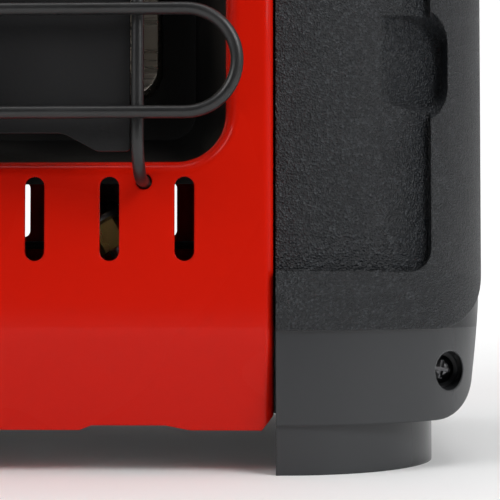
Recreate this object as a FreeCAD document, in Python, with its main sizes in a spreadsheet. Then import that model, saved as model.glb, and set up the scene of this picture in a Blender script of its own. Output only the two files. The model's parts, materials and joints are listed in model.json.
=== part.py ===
import FreeCAD, Part
import math
import os
import re

import Sketcher

# Portable propane heater: a sheet steel case between two moulded side covers.
# X runs across the heater (+X is the right-hand end seen from the front), the front faces -Y, Z is up.
# The origin is on the floor, under the middle of the heater's box. All sizes are in millimetres.

SIZES = [
    # The whole heater
    ("overall_width", 340.4, "across the textured skins of both side covers"),
    ("overall_depth", 195.6, "from the guard's front wires to the back of the side covers"),
    ("body_height", 299.2, "floor to the top of the side covers, under their skin"),
    ("slope_angle", 33.8, "rise of the covers' sloping shoulder, in degrees"),
    ("hood_run", 80.0, "front to back length of the slope"),
    # Sheet steel case
    ("panel_width", 225.6, "width of the painted case between the side covers"),
    ("panel_bottom", 10.5, "underside of the painted case"),
    ("panel_tuck", 4.0, "how far the case's bottom edge is drawn back"),
    ("crease_height", 34.0, "height of the crease where the tuck starts"),
    ("deck_height", 282.0, "top of the painted case, under the folded handle"),
    ("hood_angle", 24.0, "rise of the painted case's slope, in degrees"),
    ("sheet", 0.8, "thickness of the sheet steel"),
    ("flange", 12.0, "depth of the case's turned-in flanges"),
    ("edge_roll", 2.6, "outer radius of the case's long edges"),
    ("rear_inset", 1.0, "the painted case's back lies this far inside the covers"),
    ("window_half", 101.15, "half width of the heating window"),
    ("window_low", 76.2, "bottom edge of the window"),
    ("window_high", 222.0, "top edge of the window"),
    ("window_corner", 12.0, "corner radius of the window"),
    ("lip_roll", 3.8, "outer radius of the window's rolled lip"),
    ("lip_depth", 5.0, "depth of the window's rolled lip"),
    ("slot_pitch", 18.25, "spacing of the air slots"),
    ("slot_count", 11.0, "air slots in one row"),
    ("slot_width", 4.8, "width of an air slot"),
    ("slot_length", 20.5, "length of an air slot"),
    ("front_slot_height", 62.05, "centre of the front row of slots"),
    ("rear_slot_height", 75.5, "centre of the lower back row of slots"),
    ("upper_slot_height", 238.0, "centre of the upper back row of slots"),
    ("hood_slot_length", 30.0, "length of the slots in the slope"),
    ("deck_slot_length", 44.0, "length of the slots in the top deck"),
    ("notch_inner", 68.3, "start of the flat of the shallow notch in the bottom edge"),
    ("notch_outer", 86.4, "end of the flat of the shallow notch in the bottom edge"),
    ("notch_rise", 1.2, "height of the shallow notch in the bottom edge"),
    ("corner_cut", 3.6, "cut corner at each end of the front's bottom edge"),
    # Side covers
    ("panel_gap", 0.6, "gap between the painted case and a side cover"),
    ("cover_wall", 3.0, "wall of a side cover"),
    ("texture_rise", 0.8, "the textured skin stands this proud of the smooth band"),
    ("front_corner", 55.0, "radius in plan of a cover's front corner"),
    ("rear_corner", 30.0, "radius in plan of a cover's rear corner"),
    ("top_round", 16.0, "radius along a cover's outer top edge"),
    ("lean_low", 6.0, "how far the cover's outer side draws in at its bottom"),
    ("lean_high", 5.0, "how far the cover's outer side draws in at its top"),
    ("tuck_round", 11.0, "radius under the cover's outer side"),
    ("widest_height", 130.0, "height where the covers are widest"),
    ("texture_low", 35.1, "bottom edge of the textured skin"),
    ("texture_round", 16.0, "radius of the textured skin's bottom outer corner"),
    ("foot_height", 12.0, "height of the foot under a cover"),
    ("foot_inset", 15.2, "how far the foot stands inside the cover's outer side"),
    ("foot_setback", 0.8, "the foot's face lies this far behind the smooth band"),
    ("foot_corner", 41.0, "radius in plan of the foot's front corner"),
    ("recess_low", 49.3, "bottom edge of the sunk panel in a cover's front corner"),
    ("recess_high", 228.0, "top edge of the sunk panel"),
    ("recess_depth", 1.5, "depth of the sunk panel below the smooth surface"),
    ("recess_bearing", 43.0, "where the sunk panel ends round the corner, in degrees"),
    ("recess_corner", 6.0, "corner radius of the sunk panel"),
    ("grip_low", 91.5, "floor of the lowest finger notch"),
    ("grip_tall", 21.5, "height of a finger notch's floor"),
    ("grip_pitch", 40.0, "spacing of the finger notches"),
    ("grip_count", 3.0, "finger notches in one cover"),
    ("grip_depth", 4.7, "depth of a finger notch's flat floor below the textured skin"),
    ("grip_facing", 45.5, "bearing that a finger notch's floor faces, in degrees"),
    ("grip_reach", 8.2, "how far a finger notch's floor runs past its middle"),
    ("grip_wall", 37.5, "lean of a finger notch's outer wall, in degrees"),
    ("screw_hole", 5.0, "radius of the screw wells in the smooth band"),
    ("well_depth", 10.0, "depth of the screw wells"),
    ("screw_hole_height", 24.2, "height of the screw wells"),
    ("screw_x", 157.8, "the screw wells' distance from the middle"),
    ("screw_facing", 10.0, "bearing that a screw well faces, in degrees"),
    ("access_low", 24.0, "bottom of the opening in a cover's inner wall"),
    ("access_high", 236.0, "top of the opening in a cover's inner wall"),
    # Wire guard
    ("wire", 3.0, "diameter of the guard's wires"),
    ("guard_standoff", 17.5, "painted front to the middle of the loop wires"),
    ("loop_half", 104.7, "half length of a loop, to the middle of its wire"),
    ("loop_tall", 24.0, "height of a loop, to the middle of its wires"),
    ("loop_low", 85.7, "bottom wire of the lowest loop"),
    ("loop_pitch", 51.3, "spacing of the loops"),
    ("loop_count", 3.0, "loops in the guard"),
    ("upright_outer", 81.4, "outer uprights, from the middle"),
    ("upright_inner", 27.3, "inner uprights, from the middle"),
    ("weld", 0.08, "depth of the spot welds between crossing wires"),
    ("hook_drop", 5.1, "the uprights' holes lie this far outside the window"),
    ("hook_hole", 1.95, "radius of the uprights' holes"),
    ("hook_reach", 5.0, "how far an upright's end goes in behind the front"),
    ("shield_half", 79.5, "half width of the plate on the guard"),
    ("shield_high", 119.0, "top edge of the plate on the guard"),
    ("shield_sheet", 1.0, "thickness of the plate on the guard"),
    ("arch_half", 63.8, "half width of the arch in the plate's bottom edge"),
    ("arch_run", 7.9, "width of the arch's sloping ends"),
    ("arch_height", 81.4, "height of the arch in the plate's bottom edge"),
    # Burner
    ("firebox_gap", 1.0, "gap between the window's lip and the firebox"),
    ("firebox_mouth", 1.8, "the firebox's mouth is this much larger than the window"),
    ("firebox_flange", 3.4, "width of the firebox's front flange"),
    ("firebox_depth", 38.0, "depth of the firebox"),
    ("firebox_taper", 11.0, "how far the firebox's sides close in"),
    ("burner_half", 81.5, "half width of the burner's frame"),
    ("burner_low", 97.0, "bottom of the burner's frame"),
    ("burner_high", 201.0, "top of the burner's frame"),
    ("burner_corner", 8.0, "corner radius of the burner's frame"),
    ("burner_set", 34.0, "painted front to the face of the burner's frame"),
    ("frame_rim", 5.5, "width of the burner frame's rim"),
    ("frame_depth", 16.6, "depth of the burner's frame"),
    ("frame_sheet", 1.2, "thickness of the burner's frame"),
    ("mesh_thick", 1.0, "thickness of the screen in front of the tile"),
    ("tile_thick", 12.0, "thickness of the ceramic tile"),
    ("groove_pitch", 6.0, "spacing of the tile's grooves"),
    ("gasket_thick", 2.0, "thickness of the fibre gasket"),
    ("plenum_depth", 26.0, "depth of the mixing chamber"),
    ("mesh_rows", 9.0, "rows of openings in the screen"),
    ("mesh_columns", 14.0, "columns of openings in the screen"),
    ("mesh_bar", 2.0, "width of the screen's bars"),
    ("venturi_tilt", 30.0, "tilt of the mixing tube, in degrees"),
    ("venturi_bore", 8.0, "bore radius of the mixing tube"),
    ("jet_place", 63.0, "the gas jet, from the middle towards +X"),
    ("jet_height", 65.0, "height of the gas jet"),
    ("jet_set", 62.0, "painted front to the gas jet"),
    ("fitting_flats", 11.0, "size across flats of the jet's hexagon"),
    # Controls
    ("knob_place", 141.0, "the knob and the igniter, from the middle"),
    ("knob_set", 42.0, "painted front to the middle of the knob"),
    ("knob_size", 19.0, "radius of the knob's grip"),
    ("knob_tall", 20.0, "height of the knob"),
    ("knob_skirt", 22.0, "radius of the knob's skirt"),
    ("knob_travel", 3.0, "how far the knob pushes in"),
    ("flute_count", 12.0, "finger flutes round the knob"),
    ("dial_size", 25.0, "radius of the dial plate"),
    ("knob_lift", 5.0, "the knob's underside stands this far off the cover"),
    ("stem_size", 4.0, "radius of the valve's stem"),
    ("collar_size", 7.0, "radius of the push collar round the stem"),
    ("bushing_size", 8.6, "radius of the valve's bushing"),
    ("valve_drop", 8.0, "the valve's block starts this far under the cover's face"),
    ("valve_width", 32.0, "width of the valve's body"),
    ("valve_tall", 34.0, "length of the valve's body"),
    ("igniter_set", 30.0, "painted front to the middle of the igniter"),
    ("button_size", 7.5, "radius of the igniter's button"),
    ("button_travel", 5.0, "how far the igniter's button pushes in"),
    ("piezo_size", 8.8, "radius of the igniter's body"),
    ("piezo_long", 30.0, "length of the igniter's body under the cover"),
    # Fuel connection
    ("swivel_place", 157.5, "swivel axis, from the middle towards +X"),
    ("swivel_set", 23.6, "back of the covers to the swivel axis"),
    ("arm_long", 64.0, "swivel axis to the cylinder socket"),
    ("stow_angle", 10.0, "how far the stowed arm points inwards, in degrees"),
    ("bay_low", 192.0, "floor of the regulator's bay"),
    ("bay_high", 256.0, "roof of the regulator's bay"),
    ("bay_inner", 122.0, "inner wall of the bay, from the middle"),
    ("bay_front", 90.0, "swivel axis to the bay's front wall"),
    ("bay_back", 12.5, "swivel axis to the bay's back wall"),
    ("bay_round", 6.0, "corner radius of the bay's mouth"),
    ("mouth_height", 200.0, "mouth of the cylinder socket"),
    ("thread_radius", 12.0, "bore of the cylinder socket, for a 1 inch 20 UNEF neck"),
    ("socket_long", 16.0, "length of the cylinder socket"),
    ("socket_bore", 11.0, "depth of the socket's threaded bore"),
    ("seal_size", 9.0, "radius of the socket's rubber seal"),
    ("seal_thick", 2.2, "thickness of the socket's rubber seal"),
    ("disc_size", 20.0, "radius of the regulator's body"),
    ("disc_tall", 18.0, "height of the regulator's body"),
    ("post_size", 4.0, "radius of the swivel post"),
    ("running", 0.08, "radial clearance of a turning or sliding fit"),
    # Handle
    ("handle_pivot_set", 85.5, "painted front to the handle's pivot"),
    ("handle_pivot_height", 293.5, "height of the handle's pivot"),
    ("handle_reach", 81.0, "pivot to the middle of the grip"),
    ("rod", 3.5, "radius of the handle's rod"),
    ("handle_half", 108.0, "half width of the handle, to the middle of its rod"),
    ("handle_bend", 14.0, "bend radius of the handle's rod"),
    ("grip_half", 62.0, "half length of the handle's grip"),
    ("grip_round", 9.0, "radius of the handle's grip"),
    ("pin_size", 3.0, "radius of the handle's pins"),
    # Pipes, leads and clearances
    ("pipe", 3.0, "radius of the gas pipes"),
    ("pipe_height", 36.0, "height at which the gas pipes cross the case"),
    ("lead_height", 60.0, "height at which the thin pipe and the leads cross the case"),
    ("pilot_pipe", 1.6, "radius of the pilot's pipe"),
    ("lead", 1.3, "radius of the ignition lead"),
    ("gap", 0.3, "clearance between neighbouring pieces"),
]

# Places and lengths that follow from the sizes. Each is written once and used by its name.
PLACES = {
    "front": "-overall_depth/2 + guard_standoff + wire/2",
    "rear": "overall_depth/2 - texture_rise",
    "case_rear": "rear - rear_inset",
    "side": "overall_width/2",
    "smooth_side": "side - texture_rise",
    "panel_half": "panel_width/2",
    "inboard": "panel_half + panel_gap",
    "slope": "tan(slope_angle*1deg)",
    "peak": "front + hood_run",
    "shoulder": "body_height - hood_run*slope",
    "hood_start": "deck_height - hood_run*tan(hood_angle*1deg)",
    "inner_half": "panel_half - sheet - gap",
    "wall_half": "inner_half - sheet - gap",
    "corner_x": "smooth_side - front_corner",
    "corner_y": "front + front_corner",
    "rim_corner": "front_corner + texture_rise",
    "knob_y": "front + knob_set",
    "knob_z": "shoulder + knob_set*slope + texture_rise",
    "igniter_y": "front + igniter_set",
    "igniter_z": "shoulder + igniter_set*slope + texture_rise",
    "swivel_y": "rear - swivel_set",
    "pivot_y": "front + handle_pivot_set",
    "upright_y": "front - guard_standoff + wire - weld",
    "firebox_y": "front + lip_depth + firebox_gap",
    "firebox_back": "firebox_y + firebox_depth",
    "burner_y": "front + burner_set",
    "frame_back": "burner_y + frame_depth",
    "tile_half": "burner_half - frame_sheet - gap",
    "tile_low": "burner_low + frame_sheet + gap",
    "tile_high": "burner_high - frame_sheet - gap",
    "gasket_y": "burner_y + frame_sheet + mesh_thick",
    "tile_y": "gasket_y + gasket_thick",
    "jet_y": "front + jet_set",
    "pilot_y": "burner_y - 6",
    "supply_y": "jet_y + 64",
    "feed_y": "jet_y + 42",
    "lead_y": "jet_y + 53",
    "socket_x": "swivel_place - arm_long*sin(stow_angle*1deg)",
    "socket_y": "swivel_y - arm_long*cos(stow_angle*1deg)",
    "piezo_foot_y": "igniter_y + piezo_long*sin(slope_angle*1deg)",
    "piezo_foot_z": "igniter_z - piezo_long*cos(slope_angle*1deg)",
    "piezo_tail_y": "piezo_foot_y + 12*sin(slope_angle*1deg)",
    "piezo_tail_z": "piezo_foot_z - 12*cos(slope_angle*1deg)",
    "arm_height": "mouth_height + socket_long + disc_tall/2",
    "shield_y": "upright_y + wire/2",
    "hole_low": "window_low - hook_drop",
    "hole_high": "window_high + hook_drop",
}

doc = FreeCAD.newDocument("portable_propane_heater")
sheet = doc.addObject("Spreadsheet::Sheet", "Sizes")
for row, (alias, number, meaning) in enumerate(SIZES, 1):
    sheet.set(f"A{row}", alias)
    sheet.set(f"B{row}", str(number))
    sheet.setAlias(f"B{row}", alias)
    sheet.set(f"C{row}", meaning)
doc.recompute()

WORD = re.compile(r"\b[a-z][a-z_]+\b")
ALIASES = {alias for alias, number, meaning in SIZES}
PLANES = {
    "XY": FreeCAD.Rotation(),
    "XZ": FreeCAD.Rotation(FreeCAD.Vector(1, 0, 0), 90),
    "YZ": FreeCAD.Rotation(FreeCAD.Vector(1, 1, 1), 120),
}
parts = {}


# Sizes, expressions and places

def full(text):
    """The expression with every place written out and every size pointing at its cell."""
    text = str(text)
    while any(word in PLACES for word in WORD.findall(text)):
        text = WORD.sub(lambda m: f"({PLACES[m[0]]})" if m[0] in PLACES else m[0], text)
    return WORD.sub(lambda m: f"Sizes.{m[0]}" if m[0] in ALIASES else m[0], text)


def value(text):
    """The number that an expression gives now."""
    found = sheet.evalExpression(full(text))
    return float(getattr(found, "Value", found))


def count(text):
    return int(round(value(text)))


def bind(made, **properties):
    """Ties properties to expressions of the sheet's cells."""
    for name, text in properties.items():
        made.setExpression(name, full(text))
    return made


def place(made, x="0", y="0", z="0", axis=(0, 0, 1), angle="0"):
    """Puts an object at a point of the heater's frame, turned about an axis, with both tied to the sheet."""
    turn = FreeCAD.Rotation(FreeCAD.Vector(*axis), value(angle))
    made.Placement = FreeCAD.Placement(FreeCAD.Vector(value(x), value(y), value(z)), turn)
    for name, text in (("Base.x", x), ("Base.y", y), ("Base.z", z)):
        made.setExpression(f"Placement.{name}", full(text))
    if abs(value(angle)) > 1e-9:
        made.setExpression("Placement.Rotation.Angle", full(angle))
    return made


def on_slope(made, x, y, z, out="0"):
    """Stands an object on the sloping shoulder, its own Z along the slope's normal, out from it."""
    return place(
        made,
        x,
        f"{y} - ({out})*sin(slope_angle*1deg)",
        f"{z} + ({out})*cos(slope_angle*1deg)",
        axis=(1, 0, 0),
        angle="slope_angle",
    )


def keep(name, made):
    """Names an object as one of the heater's pieces."""
    made.Label = name
    parts[name] = made
    return made


# Sketches: closed loops whose corners are tied to the sheet

def draw_outline(sketch, corners):
    """A closed outline. Each corner is (x, y) or (x, y, radius), all expressions."""
    points = [FreeCAD.Vector(value(c[0]), value(c[1]), 0) for c in corners]
    number = len(corners)
    ends, bends = [], {}
    for i, corner in enumerate(corners):
        radius = value(corner[2]) if len(corner) > 2 else 0.0
        if radius <= 0:
            ends.append((points[i], points[i]))
            continue
        back = (points[i - 1] - points[i]).normalize()
        ahead = (points[(i + 1) % number] - points[i]).normalize()
        half = back.getAngle(ahead) / 2
        middle = (back + ahead).normalize()
        run = radius / math.tan(half)
        start, stop = points[i] + back * run, points[i] + ahead * run
        top = points[i] + middle * (radius / math.sin(half) - radius)
        ends.append((start, stop))
        bends[i] = Part.Arc(start, top, stop)
    lines = [
        sketch.addGeometry(Part.LineSegment(ends[i][1], ends[(i + 1) % number][0]), False)
        for i in range(number)
    ]
    for i, corner in enumerate(corners):
        before, after = lines[i - 1], lines[i]
        if i in bends:
            arc = sketch.addGeometry(bends[i], False)
            starts = (sketch.getPoint(arc, 1) - ends[i][0]).Length < 1e-6
            first, last = (1, 2) if starts else (2, 1)
            sketch.addConstraint(Sketcher.Constraint("Tangent", before, 2, arc, first))
            sketch.addConstraint(Sketcher.Constraint("Tangent", arc, last, after, 1))
            radius = sketch.addConstraint(Sketcher.Constraint("Radius", arc, value(corner[2])))
            sketch.setExpression(f"Constraints[{radius}]", full(corner[2]))
            held = sketch.addGeometry(Part.Point(points[i]), True)
            sketch.addConstraint(Sketcher.Constraint("PointOnObject", held, 1, before))
            sketch.addConstraint(Sketcher.Constraint("PointOnObject", held, 1, after))
        else:
            sketch.addConstraint(Sketcher.Constraint("Coincident", before, 2, after, 1))
            held = after
        fix_point(sketch, held, 1, corner[0], corner[1])


def fix_point(sketch, item, end, x, y):
    for kind, text in (("DistanceX", x), ("DistanceY", y)):
        held = sketch.addConstraint(Sketcher.Constraint(kind, item, end, value(text)))
        sketch.setExpression(f"Constraints[{held}]", full(text))


def draw_circle(sketch, x, y, radius):
    centre = FreeCAD.Vector(value(x), value(y), 0)
    ring = sketch.addGeometry(Part.Circle(centre, FreeCAD.Vector(0, 0, 1), value(radius)), False)
    size = sketch.addConstraint(Sketcher.Constraint("Radius", ring, value(radius)))
    sketch.setExpression(f"Constraints[{size}]", full(radius))
    fix_point(sketch, ring, 3, x, y)


def draw_slot(sketch, x, y, width, length):
    """A round-ended slot along the sketch's second axis."""
    half = f"({width})/2"
    reach = f"(({length})/2 - ({width})/2)"
    left, right = value(f"{x} - {half}"), value(f"{x} + {half}")
    low, high = value(f"{y} - {reach}"), value(f"{y} + {reach}")
    middle = value(x)
    at = FreeCAD.Vector
    sides = [
        sketch.addGeometry(Part.LineSegment(at(right, low, 0), at(right, high, 0)), False),
        sketch.addGeometry(Part.LineSegment(at(left, high, 0), at(left, low, 0)), False),
    ]
    tip = value(half)
    over = sketch.addGeometry(
        Part.Arc(at(right, high, 0), at(middle, high + tip, 0), at(left, high, 0)), False
    )
    under = sketch.addGeometry(
        Part.Arc(at(left, low, 0), at(middle, low - tip, 0), at(right, low, 0)), False
    )
    for line, line_end, arc, arc_end in (
        (sides[0], 2, over, 1),
        (sides[1], 1, over, 2),
        (sides[1], 2, under, 1),
        (sides[0], 1, under, 2),
    ):
        sketch.addConstraint(Sketcher.Constraint("Tangent", line, line_end, arc, arc_end))
    size = sketch.addConstraint(Sketcher.Constraint("Radius", over, tip))
    sketch.setExpression(f"Constraints[{size}]", full(half))
    fix_point(sketch, over, 3, x, f"{y} + {reach}")
    fix_point(sketch, under, 3, x, f"{y} - {reach}")


def draw(sketch, loops):
    """A loop is a list of corners, ("circle", x, y, radius) or ("slot", x, y, width, length)."""
    for loop in loops:
        if isinstance(loop, list):
            draw_outline(sketch, loop)
        elif loop[0] == "circle":
            draw_circle(sketch, *loop[1:])
        else:
            draw_slot(sketch, *loop[1:])


def flat(name, plane, loops):
    """A free sketch on one of the frame's planes: XY, XZ or YZ."""
    sketch = doc.addObject("Sketcher::SketchObject", name)
    sketch.Placement = FreeCAD.Placement(FreeCAD.Vector(), PLANES[plane])
    draw(sketch, loops)
    return sketch


def box_loop(left, right, low, high, radius=None):
    corners = [(left, low), (right, low), (right, high), (left, high)]
    return [corner + (radius,) for corner in corners] if radius else corners


# Solids made from sketches and primitives

def prism(name, plane, loops, low, high):
    """The loops, or a flat object, pushed along the plane's third axis from low to high."""
    made = doc.addObject("Part::Extrusion", name)
    made.Base = flat(f"{name}_sketch", plane, loops) if isinstance(loops, list) else loops
    made.DirMode = "Custom"
    made.Dir = PLANES[plane].multVec(FreeCAD.Vector(0, 0, 1))
    made.Solid = True
    ahead, behind = (high, f"-({low})") if plane != "XZ" else (f"-({low})", high)
    return bind(made, LengthFwd=ahead, LengthRev=behind)


def grown(name, source, distance):
    """A flat outline moved outwards by a distance, or inwards by a negative one."""
    made = doc.addObject("Part::Offset2D", name)
    made.Source = source
    made.Join = "Intersection"
    made.Value = value(distance)
    return bind(made, Value=distance)


def block(name, x, y, z):
    """A box between three pairs of expressions."""
    made = doc.addObject("Part::Box", name)
    bind(made, Length=f"{x[1]} - ({x[0]})", Width=f"{y[1]} - ({y[0]})", Height=f"{z[1]} - ({z[0]})")
    return place(made, x[0], y[0], z[0])


def rod_along(name, axis, radius, x, y, z, length):
    """A round bar that starts at a point and runs along +X, +Y or +Z."""
    made = doc.addObject("Part::Cylinder", name)
    bind(made, Radius=radius, Height=length)
    turns = {"X": ((0, 1, 0), "90"), "Y": ((1, 0, 0), "-90"), "Z": ((0, 0, 1), "0")}
    spin, angle = turns[axis]
    return place(made, x, y, z, axis=spin, angle=angle)


def fuse(name, *solids):
    made = doc.addObject("Part::MultiFuse", name)
    made.Shapes = list(solids)
    made.Refine = True
    return made


def common(name, *solids):
    made = doc.addObject("Part::MultiCommon", name)
    made.Shapes = list(solids)
    made.Refine = True
    return made


def cut(name, base, *tools):
    made = doc.addObject("Part::Cut", name)
    made.Base = base
    made.Tool = tools[0] if len(tools) == 1 else fuse(f"{name}_tools", *tools)
    made.Refine = True
    return made


def group(name, *solids):
    """Separate solids that share one node."""
    made = doc.addObject("Part::Compound", name)
    made.Links = list(solids)
    return made


def mirrored(name, source):
    """The same piece on the other side of the heater's middle plane."""
    made = doc.addObject("Part::Mirroring", name)
    made.Source = source
    made.Normal = FreeCAD.Vector(1, 0, 0)
    return made


def rounded(name, base, radius, wanted):
    """Rounds the edges that a test picks."""
    doc.recompute()
    size = value(radius)
    edges = [i for i, edge in enumerate(base.Shape.Edges, 1) if wanted(edge)]
    made = doc.addObject("Part::Fillet", name)
    made.Base = base
    made.Edges = [(i, size, size) for i in edges]
    return made


def lies_at(edge, **limits):
    """True if the whole edge keeps one coordinate, such as y=3."""
    box = edge.BoundBox
    for axis, number in limits.items():
        low, high = getattr(box, f"{axis.upper()}Min"), getattr(box, f"{axis.upper()}Max")
        if abs(low - number) > 0.02 or abs(high - number) > 0.02:
            return False
    return True


def bent_path(points, bend):
    """A wire of straight runs joined by tangent arcs through points of the heater's frame."""
    spots = [FreeCAD.Vector(*[value(c) for c in point]) for point in points]
    edges, last = [], spots[0]
    for i in range(1, len(spots) - 1):
        back = (spots[i - 1] - spots[i]).normalize()
        ahead = (spots[i + 1] - spots[i]).normalize()
        half = back.getAngle(ahead) / 2
        run = bend / math.tan(half)
        start, stop = spots[i] + back * run, spots[i] + ahead * run
        top = spots[i] + (back + ahead).normalize() * (bend / math.sin(half) - bend)
        edges.append(Part.LineSegment(last, start).toShape())
        edges.append(Part.Arc(start, top, stop).toShape())
        last = stop
    edges.append(Part.LineSegment(last, spots[-1]).toShape())
    return Part.Wire(edges)


def pipe_along(name, points, radius, bend):
    """A round bar along a bent path. Its shape is set here, because no feature sweeps a free path."""
    wire = bent_path(points, value(bend))
    ahead = wire.Edges[0].tangentAt(wire.Edges[0].FirstParameter)
    ring = Part.Circle(wire.Edges[0].valueAt(wire.Edges[0].FirstParameter), ahead, value(radius))
    made = doc.addObject("Part::Feature", name)
    made.Shape = wire.makePipeShell([Part.Wire(ring.toShape())], True, False)
    return made


# Bodies: pieces built feature by feature in their own frame

def new_body(name):
    return doc.addObject("PartDesign::Body", name)


def body_sketch(body, name, plane, loops, lift="0"):
    """A sketch on one of the body's own origin planes, lifted off it along the plane's normal."""
    sketch = body.newObject("Sketcher::SketchObject", name)
    role = f"{plane}_Plane"
    support = next(f for f in body.Origin.OriginFeatures if f.Role == role)
    sketch.AttachmentSupport = [(support, "")]
    sketch.MapMode = "FlatFace"
    sketch.setExpression("AttachmentOffset.Base.z", full(lift))
    draw(sketch, loops)
    return sketch


def pad(body, name, sketch, length, both_ways=False):
    made = body.newObject("PartDesign::Pad", name)
    made.Profile = sketch
    made.Midplane = both_ways
    return bind(made, Length=length)


def pocket(body, name, sketch, length, upwards=False):
    """Cuts down from the sketch, or up from it."""
    made = body.newObject("PartDesign::Pocket", name)
    made.Profile = sketch
    made.Reversed = upwards
    return bind(made, Length=length)


def round_in(body, name, radius, wanted):
    """Rounds edges of the body's last feature that a test picks."""
    doc.recompute()
    last = body.Tip
    edges = [f"Edge{i}" for i, edge in enumerate(last.Shape.Edges, 1) if wanted(edge)]
    made = body.newObject("PartDesign::Fillet", name)
    made.Base = (last, edges)
    return bind(made, Radius=radius)


def turned(name, *profiles):
    """A body turned on a lathe: each profile is an outline of (radius, height) corners round its Z axis."""
    body = new_body(name)
    for i, profile in enumerate(profiles):
        sketch = body_sketch(body, f"{name}_profile_{i}", "XZ", [profile])
        made = body.newObject("PartDesign::Revolution", f"{name}_turned_{i}")
        made.Profile = sketch
        made.ReferenceAxis = (sketch, ["V_Axis"])
        made.Angle = 360
    return body


def ring_profile(inner, outer, low, high):
    return [(inner, low), (outer, low), (outer, high), (inner, high)]


def row_of(number, pitch):
    """Places of a centred row, as expressions."""
    return [f"({i} - ({number - 1})/2)*{pitch}" for i in range(number)]


# Sheet steel case

def slot_row(height, plane_length="slot_length"):
    places = row_of(count("slot_count"), "slot_pitch")
    return [("slot", x, height, "slot_width", plane_length) for x in places]


def case_outline(name):
    """Side view of the painted case: tucked front, slope, deck and back."""
    return flat(name, "YZ", [[
        ("front + panel_tuck", "panel_bottom"),
        ("front", "crease_height", "20"),
        ("front", "hood_start", "22"),
        ("peak", "deck_height", "18"),
        ("case_rear", "deck_height", "14"),
        ("case_rear", "panel_bottom"),
    ]])


def long_edge(half):
    """Picks the case's long edges on one end face, from the bottom corner to the back."""
    def wanted(edge):
        box = edge.BoundBox
        on_end = abs(abs(box.XMin) - half) < 0.02 and box.XLength < 0.02
        on_back = box.YMin > value("case_rear - sheet - 1.5")
        on_bottom = box.ZMax < value("panel_bottom + sheet + 0.5")
        return on_end and not on_back and not on_bottom
    return wanted


def round_window(depth, grow):
    """Picks the edges of a ring round the window, at one depth, that lie no further out than a margin."""
    def wanted(edge):
        box = edge.BoundBox
        inside_x = max(box.XMax, -box.XMin) < value(f"window_half + {grow}")
        inside_z = box.ZMin > value(f"window_low - ({grow})") and box.ZMax < value(
            f"window_high + {grow}")
        return lies_at(edge, y=value(depth)) and inside_x and inside_z
    return wanted


def front_cover():
    """One bent sheet: front, slope and deck, with turned-in flanges and a rolled window lip."""
    outline = case_outline("case_outline")
    inside = grown("case_inside", outline, "-sheet")
    outer = prism("case_outer", "YZ", outline, "-panel_half", "panel_half")
    inner = prism("case_inner", "YZ", inside, "-panel_half + sheet", "panel_half - sheet")
    outer = rounded("case_outer_rolled", outer, "edge_roll", long_edge(value("panel_half")))
    inner = rounded(
        "case_inner_rolled", inner, "edge_roll - sheet", long_edge(value("panel_half - sheet"))
    )
    behind = prism("case_behind", "YZ", [[
        ("front + panel_tuck + flange", "panel_bottom - 2"),
        ("rear + 5", "panel_bottom - 2"),
        ("rear + 5", "deck_height - flange"),
        ("peak + flange/2", "deck_height - flange"),
        ("front + panel_tuck + flange", "hood_start - flange/2"),
    ]], "-panel_half - 1", "panel_half + 1")
    shell = cut("case_shell", outer, inner, behind)

    window = flat("window", "XZ", [
        box_loop("-window_half", "window_half", "window_low", "window_high", "window_corner")
    ])
    outer_loop = grown("window_outer", window, "lip_roll")
    hole = prism("window_hole", "XZ", outer_loop, "front - 1", "front + sheet + 1")
    lip = cut(
        "lip_ring",
        prism("lip_block", "XZ", outer_loop, "front", "front + lip_depth"),
        prism("lip_hole", "XZ", window, "front - 1", "front + lip_depth + 1"),
    )
    lip = rounded("lip_rolled", lip, "lip_roll - 0.1", round_window("front", "0.1"))
    die = cut(
        "lip_die_ring",
        prism("lip_die_block", "XZ", grown("window_die", window, "lip_roll + 2"),
              "front + sheet", "front + lip_depth + 1"),
        prism("lip_die_hole", "XZ", grown("window_sheet", window, "sheet"),
              "front", "front + lip_depth + 2"),
    )
    die = rounded(
        "lip_die", die, "lip_roll - sheet - 0.1", round_window("front + sheet", "sheet + 0.1")
    )
    panel = fuse("case_lipped", cut("case_open", shell, hole), cut("lip", lip, die))

    slots = prism("front_slots", "XZ", slot_row("front_slot_height"), "front - 1", "front + 3")
    uprights = [("circle", x, z, "hook_hole")
                for x in ("-upright_outer", "-upright_inner", "upright_inner", "upright_outer")
                for z in ("hole_low", "hole_high")]
    hooks = prism("hook_holes", "XZ", uprights, "front - 1", "front + 3")
    hood_slots = prism(
        "hood_slots", "XY", slot_row("peak - 32", "hood_slot_length"), "hood_start", "deck_height + 1"
    )
    deck_slots = prism(
        "deck_slots", "XY", slot_row("peak + 42", "deck_slot_length"),
        "deck_height - 3", "deck_height + 1",
    )
    corners = [[
        (f"{s}*(panel_half + 1)", "panel_bottom - 1"),
        (f"{s}*(panel_half + 1)", "panel_bottom + corner_cut"),
        (f"{s}*panel_half", "panel_bottom + corner_cut"),
        (f"{s}*(panel_half - corner_cut)", "panel_bottom - 1"),
    ] for s in ("1", "-1")]
    notches = [[
        (f"{s}*(notch_inner - 3)", "panel_bottom - 1"),
        (f"{s}*(notch_inner - 3)", "panel_bottom"),
        (f"{s}*notch_inner", "panel_bottom + notch_rise"),
        (f"{s}*notch_outer", "panel_bottom + notch_rise"),
        (f"{s}*(notch_outer + 6)", "panel_bottom"),
        (f"{s}*(notch_outer + 6)", "panel_bottom - 1"),
    ] for s in ("1", "-1")]
    trims = prism(
        "bottom_trims", "XZ", corners + notches, "front - 1", "front + panel_tuck + flange + 1"
    )
    return cut("front_cover_sheet", panel, slots, hooks, hood_slots, deck_slots, trims)


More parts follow.
